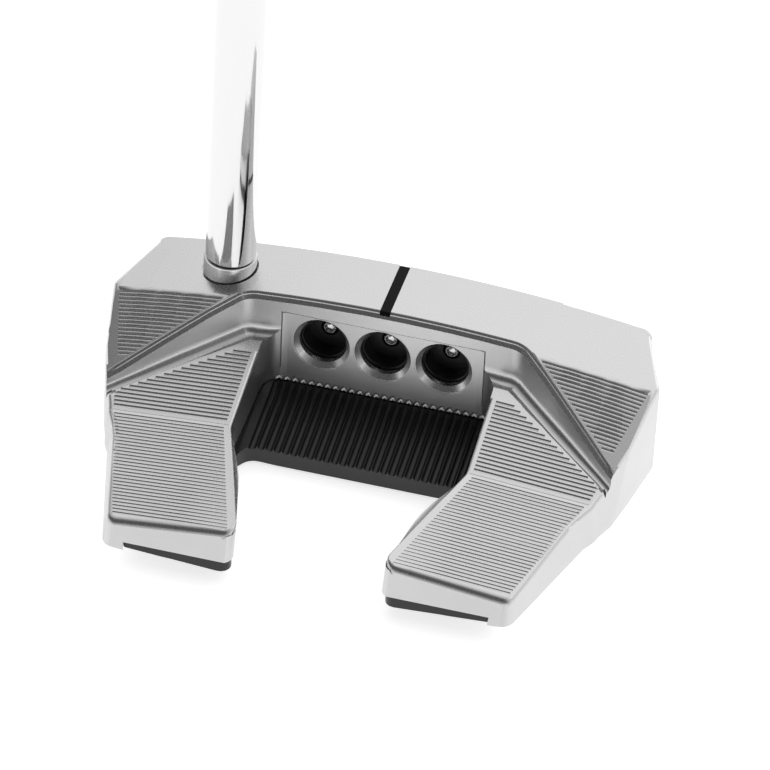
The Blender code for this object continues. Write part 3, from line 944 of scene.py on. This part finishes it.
        def inner_x(y: float) -> float:
            """Inner border of the pad."""
            return shape.cavity_rear_half + gap + 0.4 + (y - shape.rear_y) * 0.336

        def mid_outer_x(y: float) -> float:
            """Outer border of the mid grooves."""
            return min(channel_x(y), shape.flank(y, 11.0)[0] - gap)

        def mid_inner_x(_: float) -> float:
            """Inner border of the mid grooves."""
            return shape.cavity_half + gap

        return [
            RibField("upper_ribs", 0.70, 17, 0.17, -0.25, lip_x, flank_x,
                     shape.upper, shape.upper_slope, 5),
            RibField("mid_ribs", 0.87, 18, 0.17, -5.3, mid_inner_x, mid_outer_x,
                     shape.wing, shape.mid_slope),
            RibField("pad_ribs", 0.81, 30, 0.13, -22.1, inner_x, outer_x,
                     shape.wing, shape.pad_slope),
        ]

    def cutters(self) -> list[bpy.types.Object]:
        """Every cutter of the toe half."""
        shape = self.shape
        upper = self.rim_points(shape.upper_rim, shape.upper)
        wing = self.rim_points(shape.wing_rim, shape.wing)
        upper_widths = [self.width_at(p, shape.face_y - 1.0) for p, _ in upper]
        wing_widths = [self.width_at(p, shape.face_y) for p, _ in wing]
        made = [
            self.edge_break("upper_edge", upper, shape.upper, upper_widths),
            self.edge_break("wing_edge", wing, shape.wing, wing_widths),
        ]
        crease = [
            (Vector((x, shape.crease_y, shape.wing(x, shape.crease_y))), Vector((0, 1, 0)))
            for x in (shape.cavity_half + 0.6, shape.crease_half - 0.8)
        ]
        made.append(self.groove("crease_line", crease, 0.22, 0.2))
        for offset, name in ((-0.06, "lip_line_front"), (0.42, "lip_line_rear")):
            line = []
            for plan, normal in shape.lip_line():
                place = plan + normal * offset
                z = shape.upper(plan.x, plan.y) - max(0.0, offset)
                line.append((Vector((*place, z)), Vector((*normal, 0.0))))
            made.append(self.groove(name, line, 0.16, 0.16))
        made += [ribs.cutter() for ribs in self.rib_fields()]
        return made

    def wall_lines(self) -> list[bpy.types.Object]:
        """Cutters of the fine line round the leaning face and the rings of its holes."""
        shape = self.shape
        half, deep = self.line_width / 2, self.line_width
        corners = [
            (-self.wall_half, self.wall_low),
            (-self.wall_half, self.wall_top),
            (self.wall_half, self.wall_top),
            (self.wall_half, self.wall_low),
        ]
        made = []
        for i, (start, end) in enumerate(zip(corners, corners[1:])):
            along = (Vector(end) - Vector(start)).normalized()
            aside = Vector((-along.y, along.x))
            sections = []
            for x, z in (start, end):
                left, right = Vector((x, z)) + aside * half, Vector((x, z)) - aside * half
                sections.append(
                    [
                        shape.wall_point(x, z, deep),
                        shape.wall_point(left.x, left.y, 0.0),
                        shape.wall_point(left.x, left.y, -0.6),
                        shape.wall_point(right.x, right.y, -0.6),
                        shape.wall_point(right.x, right.y, 0.0),
                    ]
                )
            made.append(sweep(f"wall_line_{i}", sections))
        axis = Vector((0.0, 1.0, -shape.wall_lean))
        for i in (-1, 0, 1):
            mouth = shape.wall_point(i * shape.hole_pitch, shape.wall_z, 0.0)
            profile = [(-0.6, 5.62), (0.13, 5.62), (0.14, 5.0), (0.4, 4.6)]
            made.append(turn(f"hole_ring_{i}", mouth, axis, profile, 72))
        return made

    def build(self, dresser: Dresser, scallops: bpy.types.Object) -> bpy.types.Object:
        """Refine the body's copy, cut it and dress it.

        Args:
            dresser: Holds the materials.
            scallops: Cutter of the flutes, whose ends bite into the body.

        Returns:
            The finished body.
        """
        body = refined_copy("milled_body", "face_body")
        mesh = body.data
        places = [vertex.co.copy() for vertex in mesh.vertices]
        self.stock = BVHTree.FromPolygons(places, [face.vertices[:] for face in mesh.polygons])
        for cutter in self.cutters():
            carve(body, mirror_of(cutter, cutter.name + "_heel"))
            carve(body, cutter)
        for cutter in [scallops, *self.wall_lines()]:
            carve(body, cutter)
        smooth(body)
        dresser.dress(body, Finishes.SATIN_STEEL, Finishes.BLASTED_STEEL, Finishes.UPRIGHT_STEEL)
        for face in body.data.polygons:
            face.material_index = self.zone(face).value
        settle(body, "club", "milled_steel", "face_body")
        return body

    def zone(self, face: bpy.types.MeshPolygon) -> Zone:
        """Which finish a face has: satin tops, blasted hollow, brushed outer walls.

        Args:
            face: A face of the body.

        Returns:
            Its zone.
        """
        x, y, _ = face.center / MM
        upright = abs(face.normal.z) < 0.5
        facing_out = abs(face.normal.x) > 0.75 and face.normal.x * x > 0
        if upright and y < self.shape.rear_y + 4.0:
            return Zone.BRUSHED
        if facing_out and abs(x) > 30.0:
            return Zone.BRUSHED
        inside = self.shape.bar_rear_y + 6.0 > y > -20.0 and abs(x) < 47.5
        return Zone.BLASTED if upright and inside else Zone.SATIN


@dataclass
class FlutedFlange:
    """The dark flange: round-bottomed flutes in its floor, shaded smooth."""

    pitch: float = 1.55
    count: int = 26
    radius: float = 0.72
    front_y: float = -0.15
    front_z: float = 7.0
    rear_y: float = -16.6
    rear_z: float = 4.4
    bite: float = 0.75

    def flutes(self, name: str, start_y: float) -> bpy.types.Object:
        """Cutter of all the flutes, with ball ends that bite into the body.

        Args:
            name: Name of the cutter.
            start_y: Y of its rear end.

        Returns:
            The cutter.
        """
        slope = (self.front_z - self.rear_z) / (self.front_y - self.rear_y)
        first_x = -self.pitch * (self.count - 1) / 2
        stations = [(start_y, 1.0), (self.front_y, 1.0)]
        stations += [(self.front_y + self.bite * s, math.sqrt(1 - s * s)) for s in (0.5, 0.8, 0.97)]
        sections = []
        for y, share in stations:
            z = self.front_z + slope * (y - self.front_y) - 0.02
            ring = []
            for i in range(16):
                a = 2 * math.pi * i / 16
                ring.append(
                    (first_x + self.radius * share * math.cos(a), y,
                     z + self.radius * share * math.sin(a))
                )
            sections.append(ring)
        bar = sweep(name, sections)
        apply(
            bar,
            "ARRAY",
            "repeat",
            count=self.count,
            use_relative_offset=False,
            use_constant_offset=True,
            constant_offset_displace=Vector((self.pitch * MM, 0.0, 0.0)),
        )
        return bar

    def build(self, dresser: Dresser) -> bpy.types.Object:
        """Flute the flange's copy, shade it smooth and dress it.

        Args:
            dresser: Holds the materials.

        Returns:
            The finished piece.
        """
        flange = refined_copy("fluted_flange", "sole_flange")
        carve(flange, self.flutes("flange_flutes", self.rear_y - 1.5))
        smooth(flange)
        dresser.dress(flange, Finishes.BLACK_ANODISED)
        settle(flange, "club", "dark_flange", "sole_flange")
        return flange


@dataclass
class SightLine:
    """Black paint in the sighting groove."""

    half: float = 0.97
    front_y: float = 15.9
    rear_y: float = 2.05
    shape: HeadShape = field(default_factory=HeadShape)

    def build(self, dresser: Dresser) -> bpy.types.Object:
        """Lay the paint a little under the top, down to the lip.

        Args:
            dresser: Holds the materials.

        Returns:
            The finished piece.
        """
        sections = []
        for x in (-self.half, -self.half + 0.12, self.half - 0.12, self.half):
            lift = 0.02 if abs(x) < self.half - 0.05 else -0.04
            z = self.shape.crown(x) - 0.06 + lift
            drop = self.shape.lip_y - self.rear_y
            sections.append(
                [
                    (x, self.front_y, z - 0.5),
                    (x, self.front_y, z - 0.08),
                    (x, self.front_y - 0.2, z),
                    (x, self.shape.lip_y, z),
                    (x, self.rear_y, z - drop),
                    (x, self.rear_y, z - drop - 0.2),
                    (x, self.shape.lip_y, z - 0.5 - drop * 0.2),
                ]
            )
        paint = sweep("sight_paint", sections)
        smooth(paint, 40.0)
        dresser.dress(paint, Finishes.PAINT)
        settle(paint, "club", "sight_paint", "sight_line_fill")
        return paint


# Fasteners


@dataclass
class SocketScrew:
    """A small cap screw with a chamfered head and a hexagon socket."""

    name: str
    node: str
    origin: Vector
    axis: Vector
    head_radius: float = 1.4
    head_height: float = 1.5
    shank_radius: float = 0.75
    length: float = 4.2
    hex_across: float = 1.5
    hex_depth: float = 0.9

    def build(self, dresser: Dresser) -> bpy.types.Object:
        """Turn the screw, sink its socket and dress it.

        Args:
            dresser: Holds the materials.

        Returns:
            The finished screw.
        """
        radius = self.head_radius
        profile = [
            (0.0, radius - 0.28),
            (0.05, radius - 0.2),
            (0.22, radius - 0.02),
            (0.3, radius),
            (self.head_height - 0.08, radius),
            (self.head_height, radius - 0.08),
            (self.head_height, self.shank_radius),
            (self.head_height + self.length - 0.2, self.shank_radius),
            (self.head_height + self.length, self.shank_radius - 0.2),
        ]
        screw = turn(self.name, self.origin, self.axis, profile, 48)
        point = SOCKET_POINT - self.hex_across / 2 / math.cos(math.pi / 6)
        depths = [(-0.3, 0.45), (0.12, 0.03), (self.hex_depth, 0.0), (self.hex_depth + 0.3, point)]
        line = self.axis.normalized()
        carve(screw, hex_socket(self.name + "_socket", self.origin, line, self.hex_across, depths))
        smooth(screw, 28.0)
        dresser.dress(screw, Finishes.SCREW_STEEL)
        settle(screw, "club", "bright_screws", self.node)
        return screw


@dataclass
class TailScrew:
    """A countersunk screw under a tail of the flange."""

    side: Side
    x: float = 25.0
    y: float = -38.0
    head_radius: float = 2.45
    shank_radius: float = 1.25
    length: float = 5.55
    hex_across: float = 1.5

    def build(self, dresser: Dresser, base: float) -> bpy.types.Object:
        """Turn the screw, sink its socket and dress it.

        Args:
            dresser: Holds the materials.
            base: Height of its outer face.

        Returns:
            The finished screw.
        """
        name = self.side.name.lower()
        at = Vector((self.side.value * self.x, self.y, base))
        up = UP
        radius = self.head_radius
        profile = [
            (0.0, radius - 0.25),
            (0.06, radius - 0.05),
            (0.16, radius),
            (1.35, self.shank_radius),
            (self.length - 0.3, self.shank_radius),
            (self.length, self.shank_radius - 0.3),
        ]
        screw = turn(f"{name}_tail_screw", at, up, profile, 48)
        point = SOCKET_POINT - self.hex_across / 2 / math.cos(math.pi / 6)
        depths = [(-0.3, 0.4), (0.1, 0.03), (0.9, 0.0), (1.15, point)]
        carve(screw, hex_socket(f"{name}_tail_socket", at, up, self.hex_across, depths))
        smooth(screw, 28.0)
        dresser.dress(screw, Finishes.SCREW_STEEL)
        settle(screw, "club", "bright_screws", f"tail_screw_{name}")
        return screw


@dataclass
class SoleWeight:
    """A screw-in weight with a hexagon socket and its sealing ring."""

    side: Side
    x: float = 35.0
    y: float = 1.0
    radius: float = 7.5
    head: float = 2.2
    shank_radius: float = 5.0
    shank: float = 7.0
    ring_radius: float = 0.5
    hex_across: float = 3.0

    def build(self, dresser: Dresser, base: float) -> list[bpy.types.Object]:
        """Turn the weight and its ring.

        Args:
            dresser: Holds the materials.
            base: Height of the weight's outer face.

        Returns:
            The weight and the ring.
        """
        name = self.side.name.lower()
        at = Vector((self.side.value * self.x, self.y, base))
        up = Vector((0.0, 0.0, 1.0))
        neck = self.shank_radius - 0.6
        collar = self.head + 2 * self.ring_radius
        profile = [
            (0.18, 3.2),
            (0.18, 5.2),
            (0.0, 5.5),
            (0.0, self.radius - 0.5),
            (0.12, self.radius - 0.18),
            (0.45, self.radius),
            (self.head - 0.1, self.radius),
            (self.head, self.radius - 0.1),
            (self.head, neck),
            (collar + 0.2, neck),
            (collar + 0.5, self.shank_radius),
        ]
        turns = 9
        for i in range(turns):
            z = collar + 0.7 + i * (self.head + self.shank - collar - 1.0) / turns
            profile += [(z, self.shank_radius), (z + 0.18, self.shank_radius - 0.25)]
            profile += [(z + 0.36, self.shank_radius)]
        profile.append((self.head + self.shank, self.shank_radius - 0.3))
        weight = turn(f"{name}_sole_weight", at, up, profile, 72)
        point = 2 * SOCKET_POINT - self.hex_across / 2 / math.cos(math.pi / 6)
        depths = [(-0.5, 0.7), (0.35, 0.05), (2.0, 0.0), (2.6, point)]
        carve(weight, hex_socket(f"{name}_weight_socket", at, up, self.hex_across, depths))
        smooth(weight, 30.0)
        dresser.dress(weight, Finishes.WEIGHT_STEEL)
        settle(weight, f"{name}_weight", "weights", f"{name}_weight")
        height = base + self.head + self.ring_radius + 0.05
        bpy.ops.object.select_all(action="DESELECT")
        bpy.ops.mesh.primitive_torus_add(
            location=Vector((at.x, at.y, height)) * MM,
            major_radius=(neck + self.ring_radius + 0.1) * MM,
            minor_radius=self.ring_radius * MM,
            major_segments=96,
            minor_segments=20,
        )
        ring = bpy.context.object
        ring.name = f"{name}_sealing_ring"
        bpy.ops.object.transform_apply(location=True, rotation=True, scale=True)
        bpy.ops.object.shade_smooth()
        dresser.dress(ring, Finishes.SEAL)
        settle(ring, f"{name}_ring", "ring_rubber", f"{name}_weight_ring")
        return [weight, ring]


# Shaft and grip


@dataclass
class Shaft:
    """Neck post, bent chrome shaft and the line that the grip follows."""

    foot: Vector
    lean_x: float = math.radians(1.1)
    lean_y: float = math.radians(4.0)
    neck_deep: float = 12.0
    neck_radius: float = 4.6
    collar_radius: float = 4.95
    collar_top: float = 2.9
    collar_sunk: float = 0.9
    spigot_radius: float = 3.9
    spigot_up: float = 18.0
    tip_radius: float = 4.7
    butt_radius: float = 7.6
    wall: float = 0.5
    bend_at: float = 96.0
    bend_radius: float = 75.0
    lie: float = math.radians(70.5)
    club_length: float = 864.0
    grip_length: float = 267.0
    gap: float = 0.3

    @property
    def low(self) -> Vector:
        """Direction of the shaft's lower stretch."""
        return Vector((math.sin(self.lean_x), math.sin(self.lean_y), 1.0)).normalized()

    @property
    def high(self) -> Vector:
        """Direction of the shaft above its bend."""
        return Vector((-math.cos(self.lie), 0.0, math.sin(self.lie)))

    def line(self, bend_steps: int = 36) -> list[tuple[Vector, Vector]]:
        """Centre line from the collar to the butt, with the direction at each point.

        Args:
            bend_steps: Steps round the bend.

        Returns:
            The points and directions.
        """
        swing = self.low.angle(self.high)
        pivot_axis = self.low.cross(self.high).normalized()
        start = self.foot + self.low * (self.collar_top + self.gap)
        bend = start + self.low * self.bend_at
        line = [(start + self.low * t, self.low) for t in (0.0, 0.25, 20.0, 50.0, 80.0)]
        line.append((bend, self.low))
        centre = bend + pivot_axis.cross(self.low) * self.bend_radius
        for s in range(1, bend_steps + 1):
            spun = Matrix.Rotation(swing * s / bend_steps, 3, pivot_axis)
            line.append((centre + spun @ (bend - centre), spun @ self.low))
        last, along = line[-1]
        rest = self.club_length - last.z / math.sin(self.lie) - 6.0
        for share in (0.1, 0.2, 0.3, 0.4, 0.5, 0.6, 0.7, 0.8, 0.9, 1.0):
            line.append((last + along * rest * share, along))
        return line

    def radii(self, line: Sequence[tuple[Vector, Vector]]) -> list[float]:
        """Radius at each point: even up to the bend, then a plain taper.

        Args:
            line: The centre line.

        Returns:
            The radii.
        """
        steps = [(b[0] - a[0]).length for a, b in zip(line, line[1:])]
        whole = sum(steps[5:])
        radii = [self.tip_radius - 0.15] + [self.tip_radius] * 5
        radii += [
            self.tip_radius + (self.butt_radius - self.tip_radius) * sum(steps[5:i]) / whole
            for i in range(6, len(line))
        ]
        return radii

    def ring(self, centre: Vector, along: Vector, radius: float, sides: int) -> list[Vector]:
        """A round section whose first point always lies towards the target.

        Args:
            centre: Its centre.
            along: Direction of the shaft there.
            radius: Its radius.
            sides: How many points it has.

        Returns:
            The points.
        """
        across = Vector((0.0, 1.0, 0.0))
        across = (across - along * across.dot(along)).normalized()
        up = along.cross(across)
        turns = [2 * math.pi * i / sides for i in range(sides)]
        return [centre + radius * (math.cos(a) * across + math.sin(a) * up) for a in turns]

    def build_post(self, dresser: Dresser) -> bpy.types.Object:
        """Turn the neck post with its collar.

        Args:
            dresser: Holds the materials.

        Returns:
            The finished piece.
        """
        profile = [
            (-self.neck_deep, self.neck_radius - 0.4),
            (-self.neck_deep + 0.4, self.neck_radius),
            (-self.collar_sunk, self.neck_radius),
            (-self.collar_sunk, self.collar_radius),
            (self.collar_top - 0.25, self.collar_radius),
            (self.collar_top - 0.08, self.collar_radius - 0.06),
            (self.collar_top, self.collar_radius - 0.22),
            (self.collar_top, self.spigot_radius),
            (self.spigot_up - 0.5, self.spigot_radius),
            (self.spigot_up, self.spigot_radius - 0.5),
        ]
        post = turn("neck_and_collar", self.foot, self.low, profile, 96)
        smooth(post, 30.0)
        dresser.dress(post, Finishes.NECK_STEEL)
        settle(post, "club", "neck_steel", "neck_post")
        return post

    def build(self, dresser: Dresser) -> bpy.types.Object:
        """Draw the hollow shaft along its line.

        Args:
            dresser: Holds the materials.

        Returns:
            The finished piece.
        """
        line = self.line()
        radii = self.radii(line)
        tube = sweep("bent_shaft", [self.ring(p, a, r, 80) for (p, a), r in zip(line, radii)])
        start, along = line[0]
        end, high = line[-1]
        core = [(start - along * 1.0, along, radii[0])]
        core += [(p, a, r) for (p, a), r in list(zip(line, radii))[1:-1]]
        core.append((end + high * 1.0, high, radii[-1]))
        bore = sweep(
            "shaft_bore", [self.ring(p, a, r - self.wall, 80) for p, a, r in core]
        )
        carve(tube, bore)
        smooth(tube, 35.0)
        dresser.dress(tube, Finishes.CHROME)
        settle(tube, "club", "shaft_chrome", "shaft")
        return tube


@dataclass
class Grip:
    """A rubber grip: round behind, flat for the thumbs, with moulded grooves."""

    shaft: Shaft
    sides: int = 72
    groove_from: float = 34.0
    groove_to: float = 236.0
    groove_pitch: float = 4.2
    groove_width: float = 0.9
    groove_depth: float = 0.35

    def section(self, centre: Vector, along: Vector, wide: float, deep: float,
                flat: float) -> list[Vector]:
        """Outline of the grip at one place.

        Args:
            centre: Its middle.
            along: Direction of the grip.
            wide: Half its width.
            deep: Half its depth.
            flat: Share of the depth where the thumb flat cuts it.

        Returns:
            The outline's points.
        """
        across = Vector((0.0, 1.0, 0.0))
        thumb = across.cross(along).normalized()
        thumb = thumb if thumb.x > 0 else -thumb
        ring = []
        for i in range(self.sides):
            a = 2 * math.pi * (i + 0.5) / self.sides
            lift = deep * math.sin(a)
            if lift > deep * flat * 0.92:
                over = lift / (deep * flat) - 0.92
                lift = deep * flat * (0.92 + 0.08 * (1 - math.exp(-over / 0.08)))
            ring.append(centre + across * wide * math.cos(a) + thumb * lift)
        return ring

    def sizes(self, far: float) -> tuple[float, float, float]:
        """Half width, half depth and thumb flat of the grip.

        Args:
            far: Distance from the grip's lower end.

        Returns:
            The three values.
        """
        length = self.shaft.grip_length
        stations = [
            (0.0, 9.2, 9.2, 0.98),
            (2.0, 10.0, 10.0, 0.96),
            (0.35 * length, 11.5, 12.0, 0.86),
            (0.65 * length, 12.4, 14.2, 0.80),
            (0.90 * length, 13.2, 16.4, 0.78),
            (length - 3.0, 13.4, 16.6, 0.78),
            (length, 12.0, 15.0, 0.78),
        ]
        for before, after in zip(stations, stations[1:]):
            if far <= after[0]:
                share = (far - before[0]) / (after[0] - before[0])
                return tuple(b + (a - b) * share for b, a in zip(before[1:], after[1:]))
        return stations[-1][1:]

    def build(self, dresser: Dresser) -> bpy.types.Object:
        """Mould the grip, bore it for the shaft and dress it.

        Args:
            dresser: Holds the materials.

        Returns:
            The finished piece.
        """
        line = self.shaft.line()
        butt, along = line[-1]
        length = self.shaft.grip_length
        start = butt - along * (length - 6.0)
        stops = [0.0, 0.5, 2.0, 8.0, 16.0, 24.0]
        dips = [0.3, 0.06, 0.0, 0.0, 0.0, 0.0]
        count = int((self.groove_to - self.groove_from) / self.groove_pitch)
        for i in range(count):
            middle = self.groove_from + i * self.groove_pitch
            half = self.groove_width / 2
            stops += [middle - half, middle - half * 0.4, middle + half * 0.4, middle + half]
            dips += [0.0, self.groove_depth, self.groove_depth, 0.0]
        stops += [244.0, 252.0, length - 3.0, length - 1.6, length - 0.6, length]
        dips += [0.0, 0.0, 0.0, 0.0, 0.15, 0.5]
        sections = []
        for far, dip in zip(stops, dips):
            wide, deep, flat = self.sizes(far)
            outline = self.section(start + along * far, along, wide, deep, flat)
            centre = start + along * far
            thumb = Vector((0.0, 1.0, 0.0)).cross(along)
            thumb = thumb if thumb.x > 0 else -thumb
            sunk = []
            for point in outline:
                arm = point - centre
                behind = arm.dot(thumb) / deep
                keep = dip if behind < 0.55 or far > 250.0 or far < 1.0 else 0.0
                sunk.append(point - arm.normalized() * keep)
            sections.append(sunk)
        grip = sweep("moulded_grip", sections)
        radius = self.shaft.radii(line)
        clear = 2 * self.shaft.gap + 0.3
        low_radius = radius[-1] - (radius[-1] - radius[-3]) * (length - 6.0) / (
            (line[-1][0] - line[-3][0]).length
        )
        bore = [
            self.shaft.ring(start - along * 1.0, along, low_radius + clear, 48),
            self.shaft.ring(butt + along * 1.0, along, radius[-1] + clear, 48),
        ]
        carve(grip, sweep("grip_bore", bore))
        vent = turn("grip_vent", butt - along * 2.0, along, [(0.0, 1.5), (12.0, 1.5)], 32)
        carve(grip, vent)
        smooth(grip, 40.0)
        dresser.dress(grip, Finishes.RUBBER)
        settle(grip, "club", "grip_rubber", "grip")
        return grip


# Studio


@dataclass(frozen=True)
class SoftBox:
    """A soft patch of light in the surrounding studio."""

    name: str
    towards: tuple[float, float, float]
    half_angle: float
    softness: float
    brightness: float


@dataclass
class Studio:
    """Pale floor, soft surrounding light and the camera."""

    camera_at: tuple[float, float, float] = (205.1, -748.4, 693.5)
    azimuth: float = math.radians(15.264)
    elevation: float = math.radians(41.375)
    roll: float = math.radians(1.026)
    lens: float = 263.9
    floor_size: float = 6.0
    floor_glow: float = 0.72
    base: float = 0.08
    boxes: tuple[SoftBox, ...] = (
        SoftBox("target_side", (0.1, 0.66, 0.75), 34.5, 30.5, 0.9),
        SoftBox("horizon", (0.0, 0.0, -1.0), 111.0, 9.0, 0.8),
        SoftBox("toe_side", (0.73, -0.1, 0.68), 24.0, 12.0, 0.5),
    )

    def build_camera(self) -> None:
        """Stand the camera behind and above the head, slightly rolled."""
        a, e, r = self.azimuth, self.elevation, self.roll
        back = Vector((math.sin(a) * math.cos(e), -math.cos(a) * math.cos(e), math.sin(e)))
        right = Vector((math.cos(a), math.sin(a), 0.0))
        up = back.cross(right)
        axes = (
            right * math.cos(r) + up * math.sin(r),
            up * math.cos(r) - right * math.sin(r),
            back,
        )
        data = bpy.data.cameras.new("camera")
        data.lens = self.lens
        data.sensor_width = 36.0
        data.clip_start, data.clip_end = 0.01, 20.0
        camera = bpy.data.objects.new("camera", data)
        bpy.context.scene.collection.objects.link(camera)
        turned = Matrix(axes).transposed().to_4x4()
        camera.matrix_world = Matrix.Translation(Vector(self.camera_at) * MM) @ turned
        bpy.context.scene.camera = camera

    def build_floor(self) -> None:
        """Lay the pale floor, which is clear from below."""
        bpy.ops.object.select_all(action="DESELECT")
        bpy.ops.mesh.primitive_plane_add(size=self.floor_size, location=(0.0, 0.0, -0.0001))
        floor = bpy.context.object
        floor.name = "studio_floor"
        material = bpy.data.materials.new("studio_floor")
        material.use_nodes = True
        board = NodeBoard(material.node_tree)
        nodes = material.node_tree.nodes
        nodes.remove(nodes["Principled BSDF"])
        paper = board.add("ShaderNodeBsdfDiffuse", Color=(0.86, 0.86, 0.86, 1.0))
        glow = board.add("ShaderNodeEmission", Color=(1.0, 1.0, 1.0, 1.0), Strength=self.floor_glow)
        lit = board.add("ShaderNodeAddShader")
        clear = board.add("ShaderNodeBsdfTransparent")
        mix = board.add("ShaderNodeMixShader")
        below = board.add("ShaderNodeNewGeometry")
        board.join(paper.outputs[0], lit.inputs[0])
        board.join(glow.outputs[0], lit.inputs[1])
        board.join(below.outputs["Backfacing"], mix.inputs[0])
        board.join(lit.outputs[0], mix.inputs[1])
        board.join(clear.outputs[0], mix.inputs[2])
        board.join(mix.outputs[0], nodes["Material Output"].inputs["Surface"])
        floor.data.materials.append(material)

    def build_light(self) -> None:
        """Light the studio with soft patches on an even grey surround."""
        world = bpy.data.worlds.new("studio")
        bpy.context.scene.world = world
        world.use_nodes = True
        board = NodeBoard(world.node_tree)
        towards = board.add("ShaderNodeTexCoord").outputs["Generated"]
        total: bpy.types.NodeSocket | float = self.base
        for box in self.boxes:
            aim = board.add("ShaderNodeVectorMath", operation="DOT_PRODUCT")
            board.join(towards, aim.inputs[0])
            aim.inputs[1].default_value = Vector(box.towards).normalized()
            edge = board.add("ShaderNodeMapRange", interpolation_type="SMOOTHSTEP")
            board.join(aim.outputs["Value"], edge.inputs["Value"])
            outer = math.radians(box.half_angle + box.softness)
            inner = math.radians(max(1.0, box.half_angle - box.softness))
            edge.inputs["From Min"].default_value = math.cos(outer)
            edge.inputs["From Max"].default_value = math.cos(inner)
            edge.inputs["To Min"].default_value = 0.0
            edge.inputs["To Max"].default_value = box.brightness
            total = board.math("ADD", edge.outputs["Result"], total)
        background = world.node_tree.nodes["Background"]
        board.join(total, background.inputs["Strength"])
        background.inputs["Color"].default_value = (1.0, 1.0, 1.0, 1.0)

    def build(self) -> None:
        """Set up the camera, the floor and the light."""
        self.build_camera()
        self.build_floor()
        self.build_light()
        bpy.context.scene.view_settings.view_transform = "Standard"


@dataclass
class Putter:
    """The whole club, piece by piece."""

    shape: HeadShape = field(default_factory=HeadShape)
    dresser: Dresser = field(default_factory=Dresser)
    screw_at: float = 5.55
    shaft_x: float = -31.3
    shaft_y: float = 8.4

    def build(self) -> None:
        """Build every piece in order."""
        flange = FlutedFlange()
        scallops = flange.flutes("body_scallops", flange.front_y - 0.9)
        MilledBody(self.shape).build(self.dresser, scallops)
        flange.build(self.dresser)
        SightLine(shape=self.shape).build(self.dresser)
        self.build_fasteners()
        foot = Vector((self.shaft_x, self.shaft_y, self.shape.crown(self.shaft_x)))
        shaft = Shaft(foot)
        shaft.build_post(self.dresser)
        shaft.build(self.dresser)
        Grip(shaft).build(self.dresser)
        self.dresser.dress(bpy.data.objects["grip_tape"], Finishes.TAPE)

    def build_fasteners(self) -> None:
        """Place the flange screws, the tail screws and the weights."""
        axis = Vector((0.0, 1.0, -self.shape.wall_lean)).normalized()
        for i, name in ((-1, "heel"), (0, "centre"), (1, "toe")):
            mouth = self.shape.wall_point(i * self.shape.hole_pitch, self.shape.wall_z, 0.0)
            node = f"flange_screw_{name}"
            screw = SocketScrew(f"{name}_flange_screw", node, mouth + axis * self.screw_at, axis)
            screw.build(self.dresser)
        for side in Side:
            name = side.name.lower()
            tail_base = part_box(f"tail_screw_{name}")[0].z / MM
            TailScrew(side).build(self.dresser, tail_base)
            weight_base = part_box(f"{name}_weight")[0].z / MM
            SoleWeight(side).build(self.dresser, weight_base)


def main() -> None:
    """Build the putter and its studio."""
    logging.basicConfig(level=logging.INFO, format="%(name)s: %(message)s")
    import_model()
    Studio().build()
    Putter().build()


if __name__ == "__main__":
    main()
